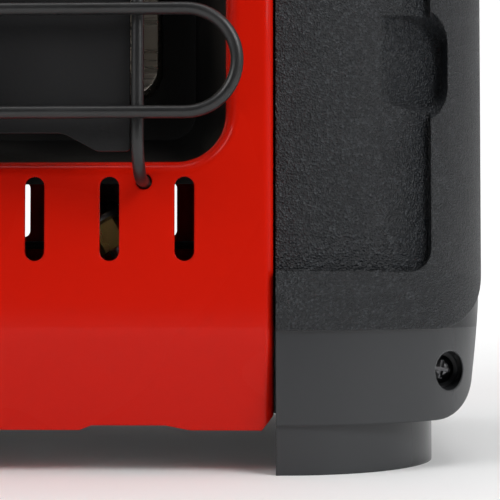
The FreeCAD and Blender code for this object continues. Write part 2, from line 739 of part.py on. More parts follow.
def rear_cover():
    """A shallow tray with two rows of slots that closes the case's back."""
    outer = block("rear_outer", ("-inner_half", "inner_half"),
                  ("case_rear - sheet - gap - flange", "case_rear - sheet - gap"),
                  ("panel_bottom", "deck_height - flange - 0.5"))
    inner = block("rear_inner", ("-inner_half + sheet", "inner_half - sheet"),
                  ("case_rear - gap - flange - 3", "case_rear - 2*sheet - gap"),
                  ("panel_bottom + sheet", "deck_height"))
    tray = rounded(
        "rear_tray", outer, "edge_roll - sheet",
        lambda e: lies_at(e, y=value("case_rear - sheet - gap")) and e.BoundBox.XLength < 0.01,
    )
    rows = slot_row("rear_slot_height") + slot_row("upper_slot_height")
    slots = prism("rear_slots", "XZ", rows, "case_rear - 5", "case_rear + 1")
    return cut("rear_cover_tray", tray, inner, slots)


def base_pan():
    """The bottom tray, which lies on the painted case's bottom flanges, with its air slots."""
    low = "panel_bottom + sheet + 0.1"
    outer = block("base_outer", ("-wall_half + sheet", "wall_half - sheet"),
                  ("front + panel_tuck + 4", "case_rear - 2*sheet - gap - 1.5"),
                  (low, f"{low} + 9"))
    inner = block("base_inner", ("-wall_half + 2*sheet", "wall_half - 2*sheet"),
                  ("front + panel_tuck + 4 + sheet", "case_rear - 3*sheet - gap - 1.5"),
                  (f"{low} + sheet", f"{low} + 10"))
    rows = [("slot", x, y, "slot_width", "30") for y in ("-30", "30")
            for x in row_of(7, "slot_pitch*1.5")]
    slots = prism("base_slots", "XY", rows, "panel_bottom - 1", "panel_bottom + 4")
    return cut("base_tray", outer, inner, slots)


def bulkhead():
    """The steel wall between the hot case and the right side cover, with holes for the pipes."""
    plate = prism("bulkhead_plate", "YZ", [[
        ("front + panel_tuck + flange + 1", "panel_bottom + 3"),
        ("case_rear - flange - 3", "panel_bottom + 3"),
        ("case_rear - flange - 3", "deck_height - flange - 4"),
        ("peak + flange", "deck_height - flange - 4"),
        ("front + panel_tuck + flange + 1", "hood_start - flange"),
    ]], "wall_half - sheet", "wall_half")
    holes = prism("bulkhead_holes", "YZ", [
        ("circle", "feed_y", "pipe_height", "9"),
        ("circle", "supply_y", "pipe_height", "9"),
        ("circle", "lead_y", "lead_height", "8"),
    ], "wall_half - 3", "wall_half + 3")
    return cut("bulkhead_wall", plate, holes)


# Side covers

def cover_form(name, inset, low, outer, hip):
    """A cover's form as three outlines that meet: front view, plan and side view. inset moves every side in."""
    seen_front = prism(f"{name}_front_view", "XZ", [[
        ("inboard", low),
        *hip,
        (outer, "widest_height", "200"),
        (f"{outer} - lean_high", f"body_height - ({inset})", f"top_round - ({inset})"),
        ("inboard", f"body_height - ({inset})"),
    ]], "front - 5", "rear + 5")
    plan = prism(f"{name}_plan", "XY", [[
        ("inboard", f"front + ({inset})"),
        (outer, f"front + ({inset})", f"front_corner - ({inset})"),
        (outer, f"rear - ({inset})", f"rear_corner - ({inset})"),
        ("inboard", f"rear - ({inset})"),
    ]], "0", "body_height + 5")
    seen_side = prism(f"{name}_side_view", "YZ", [[
        (f"front + ({inset})", low),
        (f"rear - ({inset})", low),
        (f"rear - ({inset})", f"body_height - ({inset})", f"34 - ({inset})"),
        ("peak", f"body_height - ({inset})", "30"),
        (f"front + ({inset})", f"shoulder - ({inset})*(1 - slope)", f"26 - ({inset})"),
    ]], "inboard - 5", "side + 5")
    return common(f"{name}_form", seen_front, plan, seen_side)


def grip_wedge(name, number, extra):
    """A finger notch: a flat floor across the corner, with sloping walls. extra widens it."""
    made = doc.addObject("Part::Wedge", name)
    length, rise = "26", "14"
    far = f"grip_reach - {rise}*tan(grip_wall*1deg) + ({extra})"
    bind(
        made,
        Xmin=f"-({length}) - ({extra})", Xmax=f"grip_reach + ({extra})",
        X2min=f"-({length}) - ({extra})", X2max=far,
        Ymin=f"-({extra})", Ymax=rise,
        Zmin=f"-({extra})", Zmax=f"grip_tall + ({extra})",
        Z2min=f"-7 - ({extra})", Z2max=f"grip_tall + 11 + ({extra})",
    )
    out = "(rim_corner - grip_depth)"
    place(made, f"corner_x + {out}*sin(grip_facing*1deg)",
          f"corner_y - {out}*cos(grip_facing*1deg)",
          f"grip_low + grip_tall + {number}*grip_pitch")
    facing = math.radians(value("grip_facing"))
    turn = FreeCAD.Rotation(
        FreeCAD.Vector(math.cos(facing), math.sin(facing), 0),
        FreeCAD.Vector(math.sin(facing), -math.cos(facing), 0),
        FreeCAD.Vector(0, 0, -1), "XYZ",
    )
    made.Placement = FreeCAD.Placement(made.Placement.Base, turn)
    home = made.Placement.inverse()

    def outer_corner(edge):
        spots = [home.multVec(v.Point) for v in edge.Vertexes]
        at_end = all(spot.x > value(far) - 0.01 for spot in spots)
        return at_end and abs(spots[0].y - spots[-1].y) > 1

    return rounded(f"{name}_rounded", made, "5", outer_corner)


def cover_blank():
    """What both covers share: smooth band, textured skin, foot, sunk panel, finger notches and wells."""
    smooth = cover_form("smooth", "0", "foot_height", "smooth_side", [
        ("smooth_side - lean_low", "foot_height", "tuck_round"),
        ("smooth_side - 0.7", "texture_low + 8", "30"),
    ])
    skin = cover_form("skin", "-texture_rise", "texture_low", "side", [
        ("side - 0.7", "texture_low", "texture_round"),
    ])
    foot = prism("foot", "XY", [[
        ("inboard", "front + foot_setback"),
        ("side - foot_inset", "front + foot_setback", "foot_corner"),
        ("side - foot_inset", "rear - foot_setback", "foot_corner/2"),
        ("inboard", "rear - foot_setback"),
    ]], "0", "foot_height + 4")
    outside = fuse("cover_outside", smooth, skin, foot)

    cavity = cover_form("cavity", "cover_wall", "foot_height + cover_wall",
                        "smooth_side - cover_wall", [
        ("smooth_side - cover_wall - lean_low", "foot_height + cover_wall",
         "tuck_round - cover_wall"),
        ("smooth_side - cover_wall - 0.7", "texture_low + 8", "27"),
    ])
    liner = block("cavity_liner", ("inboard + cover_wall", "side"),
                  ("front", "rear"), ("0", "body_height"))
    hollow = common("cover_hollow", cavity, liner)
    foot_hollow = prism("foot_hollow", "XY", [[
        ("inboard + cover_wall", "front + foot_setback + cover_wall"),
        ("side - foot_inset - cover_wall", "front + foot_setback + cover_wall",
         "foot_corner - 2*cover_wall"),
        ("side - foot_inset - cover_wall", "rear - foot_setback - cover_wall",
         "foot_corner/2 - cover_wall"),
        ("inboard + cover_wall", "rear - foot_setback - cover_wall"),
    ]], "cover_wall", "foot_height + cover_wall + 6")
    access = prism("cover_access", "YZ", [
        box_loop("front + 14", "rear - 14", "access_low", "access_high", "8")
    ], "inboard - 2", "inboard + cover_wall + 2")

    numbers = range(count("grip_count"))
    backs = [grip_wedge(f"grip_back_{i}", i, "cover_wall") for i in numbers]
    grips = [grip_wedge(f"grip_wedge_{i}", i, "0") for i in numbers]
    ends = ("front", "rear")
    posts = [screw_well(f"well_post_{end}", end, "screw_hole + 2", "well_depth + 15") for end in ends]
    wells = [screw_well(f"well_{end}", end, "screw_hole", "well_depth") for end in ends]
    holes = [screw_well(f"screw_hole_{end}", end, "2", "well_depth + 13") for end in ends]
    pin_boss = rod_along("pin_boss", "X", "pin_size + 3.4", "inboard", "pivot_y",
                         "handle_pivot_height", "9")
    pin_hole = rod_along("pin_hole", "X", "pin_size + running", "inboard - 1", "pivot_y",
                         "handle_pivot_height", "8.5")
    rib = block("light_rib", ("inboard - 1.8", "inboard + 1"),
                ("front + panel_tuck + flange + 2", "front + panel_tuck + flange + 4"),
                ("panel_bottom + 3", "hood_start - 24"))
    shell = cut("cover_shell", outside, hollow, foot_hollow, access)
    lumps = common("cover_lumps", outside, fuse("cover_lump_set", *backs, *posts, pin_boss))
    stiff = fuse("cover_stiffened", shell, lumps, rib)
    floor = prism("recess_floor", "XY", [[
        ("inboard - 5", "front + recess_depth"),
        ("smooth_side - recess_depth", "front + recess_depth", "front_corner - recess_depth"),
        ("smooth_side - recess_depth", "rear"),
        ("inboard - 5", "rear"),
    ]], "0", "body_height")
    wall_x = "(corner_x + rim_corner*sin(recess_bearing*1deg))"
    face = prism("recess_face", "XZ", [[
        ("inboard - 5", "recess_low"),
        (wall_x, "recess_low", "recess_corner"),
        (wall_x, "recess_high", "recess_corner"),
        ("inboard - 5", "recess_high"),
    ]], "front - 5", "front + front_corner")
    recess = cut("recess", face, floor)
    return cut("cover_blank", stiff, recess, *grips, *wells, *holes, pin_hole), outside


def screw_well(name, end, radius, depth):
    """A round bar that runs nearly front to back, from a depth below the corner's surface to outside it."""
    sign, middle_x, middle_y, size = (
        ("-1", "corner_x", "corner_y", "front_corner") if end == "front"
        else ("1", "(smooth_side - rear_corner)", "(rear - rear_corner)", "rear_corner")
    )
    surface = f"({middle_y} + {sign}*sqrt({size}^2 - (screw_x - {middle_x})^2))"
    made = doc.addObject("Part::Cylinder", name)
    bind(made, Radius=radius, Height=f"{depth} + 22")
    place(made, f"screw_x - ({depth})*sin(screw_facing*1deg)",
          f"{surface} - {sign}*({depth})*cos(screw_facing*1deg)", "screw_hole_height")
    bearing = math.radians(value("screw_facing"))
    way = FreeCAD.Vector(math.sin(bearing), float(sign) * math.cos(bearing), 0)
    turn = FreeCAD.Rotation(FreeCAD.Vector(0, 0, 1), way)
    made.Placement = FreeCAD.Placement(made.Placement.Base, turn)
    return made


def side_covers():
    """The right cover has the regulator's bay and the igniter's hole, the left one the valve's hole."""
    blank, outside = cover_blank()
    bay_y = ("swivel_y - bay_front", "swivel_y + bay_back")
    bay = prism("bay", "YZ", [box_loop(*bay_y, "bay_low", "bay_high", "bay_round")],
                "bay_inner", "side + 5")
    lining = prism("bay_lining", "YZ", [box_loop(
        f"{bay_y[0]} - cover_wall", f"{bay_y[1]} + cover_wall",
        "bay_low - cover_wall", "bay_high + cover_wall", "bay_round + cover_wall",
    )], "bay_inner - cover_wall", "side + 5")
    lined = fuse("right_lined", blank, common("bay_lining_trimmed", lining, outside))
    post_hole = rod_along("post_hole", "Z", "post_size + gap", "swivel_place", "swivel_y",
                          "bay_low - 5", "8")
    button_hole = doc.addObject("Part::Cylinder", "igniter_hole")
    bind(button_hole, Radius="piezo_size + gap", Height="10")
    on_slope(button_hole, "knob_place", "igniter_y", "igniter_z", "-6")
    right = cut("right_cover", lined, bay, post_hole, button_hole)

    left = mirrored("left_blank", blank)
    stem_hole = doc.addObject("Part::Cylinder", "valve_hole")
    bind(stem_hole, Radius="bushing_size + gap", Height="10")
    on_slope(stem_hole, "-knob_place", "knob_y", "knob_z", "-6")
    keep("right_side_cover", right)
    keep("left_side_cover", cut("left_cover", left, stem_hole))


# Wire guard

def guard():
    """Three flat loops welded across four uprights, whose bent ends hook into the painted front."""
    loop_y = "(front - guard_standoff)"
    bend = "(loop_tall/2)"
    for i in range(count("loop_count")):
        low = f"(loop_low + {i}*loop_pitch)"
        runs = [
            rod_along(f"loop_{i}_{level}", "X", "wire/2", f"-(loop_half - {bend})", loop_y,
                      f"{low} + {level}", f"2*(loop_half - {bend})")
            for level in ("0", "loop_tall")
        ]
        for sign, side in ((1, "right"), (-1, "left")):
            half = doc.addObject("Part::Torus", f"loop_end_{i}_{side}")
            bind(half, Radius1=bend, Radius2="wire/2")
            half.Angle3 = 180
            place(half, f"{sign}*(loop_half - {bend})", loop_y, f"{low} + {bend}")
            turn = FreeCAD.Rotation(FreeCAD.Vector(0, 0, -sign), FreeCAD.Vector(sign, 0, 0),
                                    FreeCAD.Vector(), "XYZ")
            half.Placement = FreeCAD.Placement(half.Placement.Base, turn)
            runs.append(half)
        keep(f"guard_loop_{i + 1}", fuse(f"guard_loop_{i}", *runs))
    end_y = "front + hook_reach"
    for i, x in enumerate(("-upright_outer", "-upright_inner", "upright_inner", "upright_outer")):
        keep(f"guard_upright_{i + 1}", pipe_along(f"upright_{i}", [
            (x, end_y, "hole_low"), (x, "upright_y", "hole_low"),
            (x, "upright_y", "hole_high"), (x, end_y, "hole_high"),
        ], "wire/2", "10"))
    plate = prism("shield", "XZ", [[
        ("-shield_half", "hole_low + 6", "1"),
        ("-(arch_half + arch_run)", "hole_low + 6", "3"),
        ("-arch_half", "arch_height", "6"),
        ("arch_half", "arch_height", "6"),
        ("arch_half + arch_run", "hole_low + 6", "3"),
        ("shield_half", "hole_low + 6", "1"),
        ("shield_half", "shield_high", "4"),
        ("-shield_half", "shield_high", "4"),
    ]], "shield_y - weld", "shield_y - weld + shield_sheet")
    keep("guard_plate", plate)


# Burner

def tapered(name, front_loop, back_loop, depth):
    """A hollow form between two flat outlines, one in front and one behind."""
    front_sketch = flat(f"{name}_front", "XZ", [front_loop])
    back_sketch = flat(f"{name}_back", "XZ", [back_loop])
    front_sketch.Placement.Base.y = value(depth[0])
    back_sketch.Placement.Base.y = value(depth[1])
    front_sketch.setExpression("Placement.Base.y", full(depth[0]))
    back_sketch.setExpression("Placement.Base.y", full(depth[1]))
    made = doc.addObject("Part::Loft", name)
    made.Sections = [front_sketch, back_sketch]
    made.Solid = True
    made.Ruled = True
    return made


def window_loop(grow, corner):
    return box_loop(f"-(window_half + {grow})", f"window_half + {grow}",
                    f"window_low - ({grow})", f"window_high + {grow}", corner)


def burner_loop(grow, corner):
    return box_loop(f"-(burner_half + {grow})", f"burner_half + {grow}",
                    f"burner_low - ({grow})", f"burner_high + {grow}", corner)


def firebox():
    """The dark pan behind the window, with sloping sides and a cut-out in its back for the burner."""
    mouth, back = "firebox_mouth", "firebox_mouth - firebox_taper"
    outer = tapered("pan_outer", window_loop(mouth, "12"), window_loop(back, "8"),
                    ("firebox_y", "firebox_back"))
    inner = tapered("pan_inner", window_loop(f"{mouth} - sheet", "11.2"),
                    window_loop(f"{back} - sheet", "7.2"), ("firebox_y - 0.01", "firebox_back - sheet"))
    rim = prism("pan_flange", "XZ", [
        window_loop(f"{mouth} + firebox_flange", "14"), window_loop(f"{mouth} - sheet", "11.2"),
    ], "firebox_y", "firebox_y + sheet")
    throat = prism("pan_throat", "XZ", [burner_loop("gap", "burner_corner")],
                   "firebox_back - 5", "firebox_back + 1")
    port = block("pilot_port", ("-76", "-44"), ("pilot_y - 7", "pilot_y + 4"),
                 ("window_low - 6", "burner_low - 6"))
    pan = cut("pan", fuse("pan_flanged", outer, rim), inner, throat, port)
    keep("firebox_pan", pan)


def burner():
    """From front to back: frame, screen, gasket, ceramic tile, mixing chamber and mixing tube."""
    opening = burner_loop("0 - frame_rim", "burner_corner - 3")
    shell = prism("frame_shell", "XZ", [burner_loop("0", "burner_corner")], "burner_y", "frame_back")
    hole = prism("frame_hole", "XZ", [opening], "burner_y - 1", "burner_y + 3")
    seat = prism("frame_seat", "XZ", [burner_loop("0 - frame_sheet", "burner_corner - frame_sheet")],
                 "burner_y + frame_sheet", "frame_back + 1")
    keep("burner_frame", cut("frame", shell, hole, seat))

    tile_edge = burner_loop("0 - frame_sheet - gap", "burner_corner - frame_sheet - gap")
    gasket = prism("gasket", "XZ", [tile_edge, opening], "gasket_y", "gasket_y + gasket_thick")
    keep("tile_gasket", gasket)

    bars = [prism("mesh_rim", "XZ", [tile_edge, opening], "burner_y + frame_sheet", "gasket_y")]
    rows, columns = count("mesh_rows"), count("mesh_columns")
    for i in range(1, rows):
        middle = f"burner_low + (burner_high - burner_low)*{i}/mesh_rows"
        bars.append(block(f"mesh_row_{i}", ("-tile_half + 1", "tile_half - 1"),
                          ("burner_y + frame_sheet", "gasket_y"),
                          (f"{middle} - mesh_bar/2", f"{middle} + mesh_bar/2")))
    for i in range(1, columns):
        middle = f"burner_half*(2*{i}/mesh_columns - 1)"
        bars.append(block(f"mesh_column_{i}", (f"{middle} - mesh_bar/2", f"{middle} + mesh_bar/2"),
                          ("burner_y + frame_sheet", "gasket_y"), ("tile_low + 1", "tile_high - 1")))
    keep("burner_screen", fuse("mesh", *bars))

    body = new_body("ceramic_tile")
    slab = body_sketch(body, "tile_outline", "XZ", [box_loop(
        "-tile_half", "tile_half", "-(tile_high - tile_low)/2", "(tile_high - tile_low)/2",
        "burner_corner - frame_sheet - gap")])
    pad(body, "tile_slab", slab, "tile_thick")
    groove = body_sketch(body, "groove_profile", "YZ", [[
        ("-tile_thick - 1", "-(tile_high - tile_low)/2 + groove_pitch - 1.5"),
        ("-tile_thick - 1", "-(tile_high - tile_low)/2 + groove_pitch + 1.5"),
        ("-tile_thick + 1.2", "-(tile_high - tile_low)/2 + groove_pitch"),
    ]])
    made = body.newObject("PartDesign::Pocket", "tile_groove")
    made.Profile = groove
    made.Midplane = True
    bind(made, Length="2*tile_half - 12")
    body.Tip = made
    doc.recompute()
    row = body.newObject("PartDesign::LinearPattern", "tile_grooves")
    row.Originals = [made]
    row.Direction = (next(f for f in body.Origin.OriginFeatures if f.Role == "Z_Axis"), [""])
    number = int(value("(tile_high - tile_low)/groove_pitch")) - 1
    row.Length = value("groove_pitch") * (number - 1)
    row.setExpression("Length", full(f"groove_pitch*{number - 1}"))
    row.Occurrences = number
    body.Tip = row
    keep("ceramic_tile", place(body, "0", "tile_y + tile_thick", "(tile_low + tile_high)/2"))

    chamber = prism("chamber_outer", "XZ", [burner_loop("0 - 2", "burner_corner - 2")],
                    "frame_back", "frame_back + plenum_depth")
    hollow = prism("chamber_inner", "XZ", [burner_loop("0 - 3", "burner_corner - 3")],
                   "frame_back - 1", "frame_back + plenum_depth - 1")
    flange = prism("chamber_flange", "XZ", [
        burner_loop("5", "burner_corner + 4"), burner_loop("0 - 3", "burner_corner - 3"),
    ], "frame_back", "frame_back + 1")
    tilt = ((0, 1, 0), "0 - venturi_tilt")
    entry = tube("chamber_entry", "venturi_bore + 1 + running", "jet_place", "jet_y", "jet_height", "60")
    keep("burner_plenum", cut("chamber", fuse("chamber_flanged", chamber, flange), hollow, entry))

    throat = tube("mixer_outer", "venturi_bore + 1", "jet_place", "jet_y", "jet_height", "44")
    bell = doc.addObject("Part::Cone", "mixer_bell")
    bind(bell, Radius1="venturi_bore + 4", Radius2="venturi_bore + 1", Height="8")
    place(bell, "jet_place", "jet_y", "jet_height", axis=tilt[0], angle=tilt[1])
    bore = tube("mixer_bore", "venturi_bore", "jet_place", "jet_y", "jet_height", "46", "1")
    flare = doc.addObject("Part::Cone", "mixer_flare")
    bind(flare, Radius1="venturi_bore + 3.2", Radius2="venturi_bore", Height="8")
    place(flare, "jet_place", "jet_y", "jet_height - 0.01", axis=tilt[0], angle=tilt[1])
    keep("venturi_tube", cut("mixer", fuse("mixer_solid", throat, bell), bore, flare))

    hexagon = doc.addObject("Part::Prism", "jet_hexagon")
    hexagon.Polygon = 6
    bind(hexagon, Circumradius="fitting_flats/2/cos(30*1deg)", Height="7.8")
    tip = tube("jet_tip", "3", "jet_place", "jet_y", "jet_height", "9", "5")
    along(hexagon, "-9")
    bracket = cut("jet_bracket", tube("jet_flange", "venturi_bore + 4", "jet_place", "jet_y",
                                      "jet_height", "1.2", "1.2"),
                  tube("jet_flange_hole", "3.4", "jet_place", "jet_y", "jet_height", "3", "2"))
    keep("orifice_fitting", fuse("orifice", hexagon, tip))
    keep("venturi_bracket", bracket)


def along(made, out):
    """Puts an object on the mixing tube's tilted axis, a distance above the gas jet."""
    x = f"jet_place - ({out})*sin(venturi_tilt*1deg)"
    z = f"jet_height + ({out})*cos(venturi_tilt*1deg)"
    return place(made, x, "jet_y", z, axis=(0, 1, 0), angle="0 - venturi_tilt")


def tube(name, radius, x, y, z, length, back="0"):
    """A round bar on the mixing tube's axis, from a distance below the gas jet."""
    made = doc.addObject("Part::Cylinder", name)
    bind(made, Radius=radius, Height=f"{length} + 0")
    return along(made, f"0 - ({back})")


def pilot():
    """The pilot flame's burner, its sensor and its spark, on a bracket under the burner's frame."""
    plate = block("pilot_plate", ("-76", "-44"), ("burner_y - 1.2", "burner_y"),
                  ("burner_low - 9", "burner_low + frame_rim - 1"))
    shelf = block("pilot_shelf", ("-76", "-44"), ("burner_y - 12", "burner_y"),
                  ("burner_low - 10.2", "burner_low - 9"))
    holes = [rod_along(f"pilot_hole_{i}", "Z", r, x, "pilot_y", "burner_low - 12", "5")
             for i, (x, r) in enumerate((("-60", "3.3"), ("-70", "1.9"), ("-50", "2.8")))]
    keep("pilot_bracket", cut("pilot_bracket_plate", fuse("pilot_angle", plate, shelf), *holes))
    body = turned("pilot_burner", [
        ("1.2", "0"), ("3", "0"), ("3", "3"), ("4.2", "3"), ("4.2", "11"), ("2.4", "14"), ("1.2", "14"),
    ])
    keep("pilot_burner", place(body, "-60", "pilot_y", "burner_low - 12"))
    sensor = turned("thermocouple", [("0", "0"), ("1.6", "0"), ("1.6", "16"), ("0", "17.6")])
    keep("thermocouple", place(sensor, "-70", "pilot_y", "burner_low - 12"))
    spark = turned("spark_electrode", [
        ("0", "0"), ("2.5", "0"), ("2.5", "11"), ("0.9", "12"), ("0.9", "17"), ("0", "17"),
    ])
    keep("spark_electrode", place(spark, "-50", "pilot_y", "burner_low - 12"))


def valve_point(along_x, up, below="0"):
    """A point of the valve's underside, or of the line that leaves it squarely."""
    out = f"(0 - valve_tall - valve_drop - ({below}))"
    return (
        f"-knob_place + ({along_x})",
        f"knob_y + ({up})*cos(slope_angle*1deg) - {out}*sin(slope_angle*1deg)",
        f"knob_z + ({up})*sin(slope_angle*1deg) + {out}*cos(slope_angle*1deg)",
    )


def pipes():
    """Gas pipes and leads, each one bent bar from end to end."""
    keep("supply_tube", pipe_along("supply_pipe", [
        ("swivel_place", "swivel_y", "bay_low - 12"),
        ("swivel_place", "swivel_y", "120"),
        ("swivel_place - 20", "supply_y", "pipe_height"),
        ("-knob_place - 8", "supply_y", "pipe_height"),
        ("-knob_place - 8", "supply_y", "150"),
        valve_point("-8", "7", "24"),
        valve_point("-8", "7"),
    ], "pipe", "9"))
    keep("burner_gas_tube", pipe_along("feed_pipe", [
        valve_point("8", "-6"),
        valve_point("8", "-6", "24"),
        ("-knob_place + 8", "feed_y", "150"),
        ("-knob_place + 8", "feed_y", "pipe_height"),
        ("jet_place + 24*tan(venturi_tilt*1deg)", "feed_y", "pipe_height"),
        ("jet_place + 9*sin(venturi_tilt*1deg) + (jet_height - 9*cos(venturi_tilt*1deg)"
         " - pipe_height)*tan(venturi_tilt*1deg)", "jet_y", "pipe_height"),
        ("jet_place + 9*sin(venturi_tilt*1deg)", "jet_y", "jet_height - 9*cos(venturi_tilt*1deg)"),
    ], "pipe", "7"))
    keep("pilot_gas_tube", pipe_along("pilot_pipe_bent", [
        ("-60", "pilot_y", "burner_low - 12"),
        ("-60", "pilot_y", "lead_height"),
        ("-60", "lead_y + 3", "lead_height"),
        ("-knob_place - 8", "lead_y + 3", "lead_height"),
        ("-knob_place - 8", "lead_y - 20", "150"),
        valve_point("-8", "-8", "20"),
        valve_point("-8", "-8"),
    ], "pilot_pipe", "5"))
    keep("thermocouple_lead", pipe_along("sensor_lead", [
        ("-70", "pilot_y", "burner_low - 12"),
        ("-70", "pilot_y", "lead_height"),
        ("-70", "lead_y - 3", "lead_height"),
        ("-knob_place", "lead_y - 3", "lead_height"),
        ("-knob_place", "lead_y - 30", "150"),
        valve_point("0", "-8", "16"),
        valve_point("0", "-8"),
    ], "lead", "5"))
    keep("ignition_wire", pipe_along("spark_lead", [
        ("-50", "pilot_y", "burner_low - 12"),
        ("-50", "pilot_y", "lead_height"),
        ("-50", "lead_y", "lead_height"),
        ("knob_place - 8", "lead_y", "lead_height"),
        ("knob_place - 8", "igniter_y + 10", "lead_height"),
        ("knob_place", "piezo_tail_y", "150"),
        ("knob_place", "piezo_tail_y", "piezo_tail_z"),
        ("knob_place", "piezo_foot_y", "piezo_foot_z"),
    ], "lead", "6"))


def heat_shield():
    """A bent plate that keeps the burner's heat off the painted top."""
    half = "wall_half - sheet - 1.2"
    keep("heat_shield", prism("top_shield", "YZ", [[
        ("front + 12", "window_high + 12"),
        ("peak", "deck_height - 22"),
        ("case_rear - 20", "deck_height - 22"),
        ("case_rear - 20", "deck_height - 22 + sheet"),
        ("peak - 0.3", "deck_height - 22 + sheet"),
        ("front + 12", "window_high + 12 + sheet"),
    ]], f"-({half})", half))


# Controls

def controls():
    """Gas valve, push collar, stem, knob and dial on the left shoulder."""
    spot = ("-knob_place", "knob_y", "knob_z")
    body = new_body("gas_valve_body")
    base = body_sketch(body, "valve_outline", "XY", [
        box_loop("-valve_width/2", "valve_width/2", "-valve_width/2 + 2", "valve_width/2 - 2", "5")
    ])
    pad(body, "valve_block", base, "valve_tall")
    neck = body_sketch(body, "bushing_outline", "XY", [("circle", "0", "0", "bushing_size")],
                       "valve_tall")
    pad(body, "valve_bushing", neck, "valve_drop - 0.5")
    bore = body_sketch(body, "bushing_bore", "XY", [("circle", "0", "0", "collar_size + running")],
                       "valve_tall + valve_drop")
    pocket(body, "collar_bore", bore, "20.5")
    deep = body_sketch(body, "stem_bore", "XY", [("circle", "0", "0", "stem_size + running")],
                       "valve_tall")
    pocket(body, "stem_pocket", deep, "valve_tall - 1.5")
    keep("gas_valve_body", on_slope(body, *spot, "0 - valve_tall - valve_drop"))

    ring = turned("push_collar", ring_profile("stem_size + running", "collar_size", "0", "15"))
    keep("push_collar", on_slope(ring, *spot, "-12"))
    stem = turned("valve_stem", [
        ("0", "0"), ("stem_size", "0"), ("stem_size", "22.4"), ("6.4", "22.4"), ("6.4", "23.7"),
        ("stem_size", "23.7"), ("stem_size", "39.3"), ("6.4", "39.3"), ("6.4", "40.6"),
        ("stem_size", "40.6"), ("stem_size", "56"), ("0", "56"),
    ])
    keep("valve_stem", on_slope(stem, *spot, "-36"))
    keep("control_knob", on_slope(knob(), *spot, "knob_lift"))
    dial = turned("dial_plate", [
        ("bushing_size + gap", "0"), ("dial_size", "0"), ("dial_size", "0.9"),
        ("dial_size - 0.8", "1.6"), ("bushing_size + gap", "1.6"),
    ])
    keep("dial_plate", on_slope(dial, *spot))


def knob():
    """A fluted grip on a round skirt, with a blind bore underneath and a pointer groove."""
    body = new_body("control_knob")
    profile = body_sketch(body, "knob_profile", "XZ", [[
        ("0", "0"), ("knob_skirt", "0"), ("knob_skirt", "3", "1"), ("knob_size", "5.4"),
        ("knob_size - 1", "knob_tall", "3"), ("0", "knob_tall - 0.6"),
    ]])
    grip = body.newObject("PartDesign::Revolution", "knob_grip")
    grip.Profile = profile
    grip.ReferenceAxis = (profile, ["V_Axis"])
    grip.Angle = 360
    bore = body_sketch(body, "knob_bore", "XY", [("circle", "0", "0", "stem_size")])
    pocket(body, "knob_bored", bore, "15.4", upwards=True)
    relief = body_sketch(body, "knob_relief", "XY", [("circle", "0", "0", "knob_size - 3")])
    pocket(body, "knob_hollow", relief, "1", upwards=True)
    body.Tip = body.Group[-1]
    mark = body_sketch(body, "knob_mark", "XY", [
        box_loop("-1", "1", "knob_size*0.35", "knob_size*0.85")
    ], "knob_tall + 1")
    pocket(body, "knob_pointer", mark, "2.2")
    flute = body_sketch(body, "knob_flute", "XY", [
        ("circle", "(knob_size + 3.4)*cos(15*1deg)", "(knob_size + 3.4)*sin(15*1deg)", "5")
    ], "5.4")
    made = pocket(body, "knob_fluted", flute, "knob_tall", upwards=True)
    body.Tip = made
    doc.recompute()
    ring = body.newObject("PartDesign::PolarPattern", "knob_flutes")
    ring.Originals = [made]
    ring.Axis = (next(f for f in body.Origin.OriginFeatures if f.Role == "Z_Axis"), [""])
    ring.Angle = 360
    ring.Occurrences = count("flute_count")
    ring.setExpression("Occurrences", full("flute_count"))
    body.Tip = ring
    return body


def igniter():
    """The push-button spark igniter on the right shoulder."""
    spot = ("knob_place", "igniter_y", "igniter_z")
    shell = turned("piezo_igniter", [
        ("0", "0"), ("piezo_size", "0"), ("piezo_size", "piezo_long + 2.5"),
        ("button_size + running", "piezo_long + 2.5"),
        ("button_size + running", "piezo_long - 8"),
        ("0", "piezo_long - 8"),
    ])
    keep("piezo_igniter", on_slope(shell, *spot, "0 - piezo_long"))
    nut = turned("igniter_nut", [
        ("piezo_size + running", "0"), ("piezo_size + 4.2", "0"),
        ("piezo_size + 4.2", "2.2", "0.8"), ("piezo_size + 2", "3.6"),
        ("piezo_size + running", "3.6"),
    ])
    keep("igniter_nut", on_slope(nut, *spot))
    button = turned("igniter_button", [
        ("0", "0"), ("button_size", "0"), ("button_size", "10.5", "1.6"), ("0", "11.5"),
    ])
    keep("igniter_button", on_slope(button, *spot, "-2"))


def switch():
    """A sealed tip-over switch beside the valve's supply, which shuts the gas off when tilted."""
    body = new_body("tip_over_switch")
    case = body_sketch(body, "switch_case", "XY", [box_loop("-9", "9", "-13", "13", "2")])
    pad(body, "switch_block", case, "22")
    lid = body_sketch(body, "switch_lid", "XY", [("circle", "0", "0", "7")], "22")
    pad(body, "switch_top", lid, "3")
    keep("tip_over_switch", place(body, "-inboard - cover_wall - 12", "rear - 36", "100"))


# Fuel connection

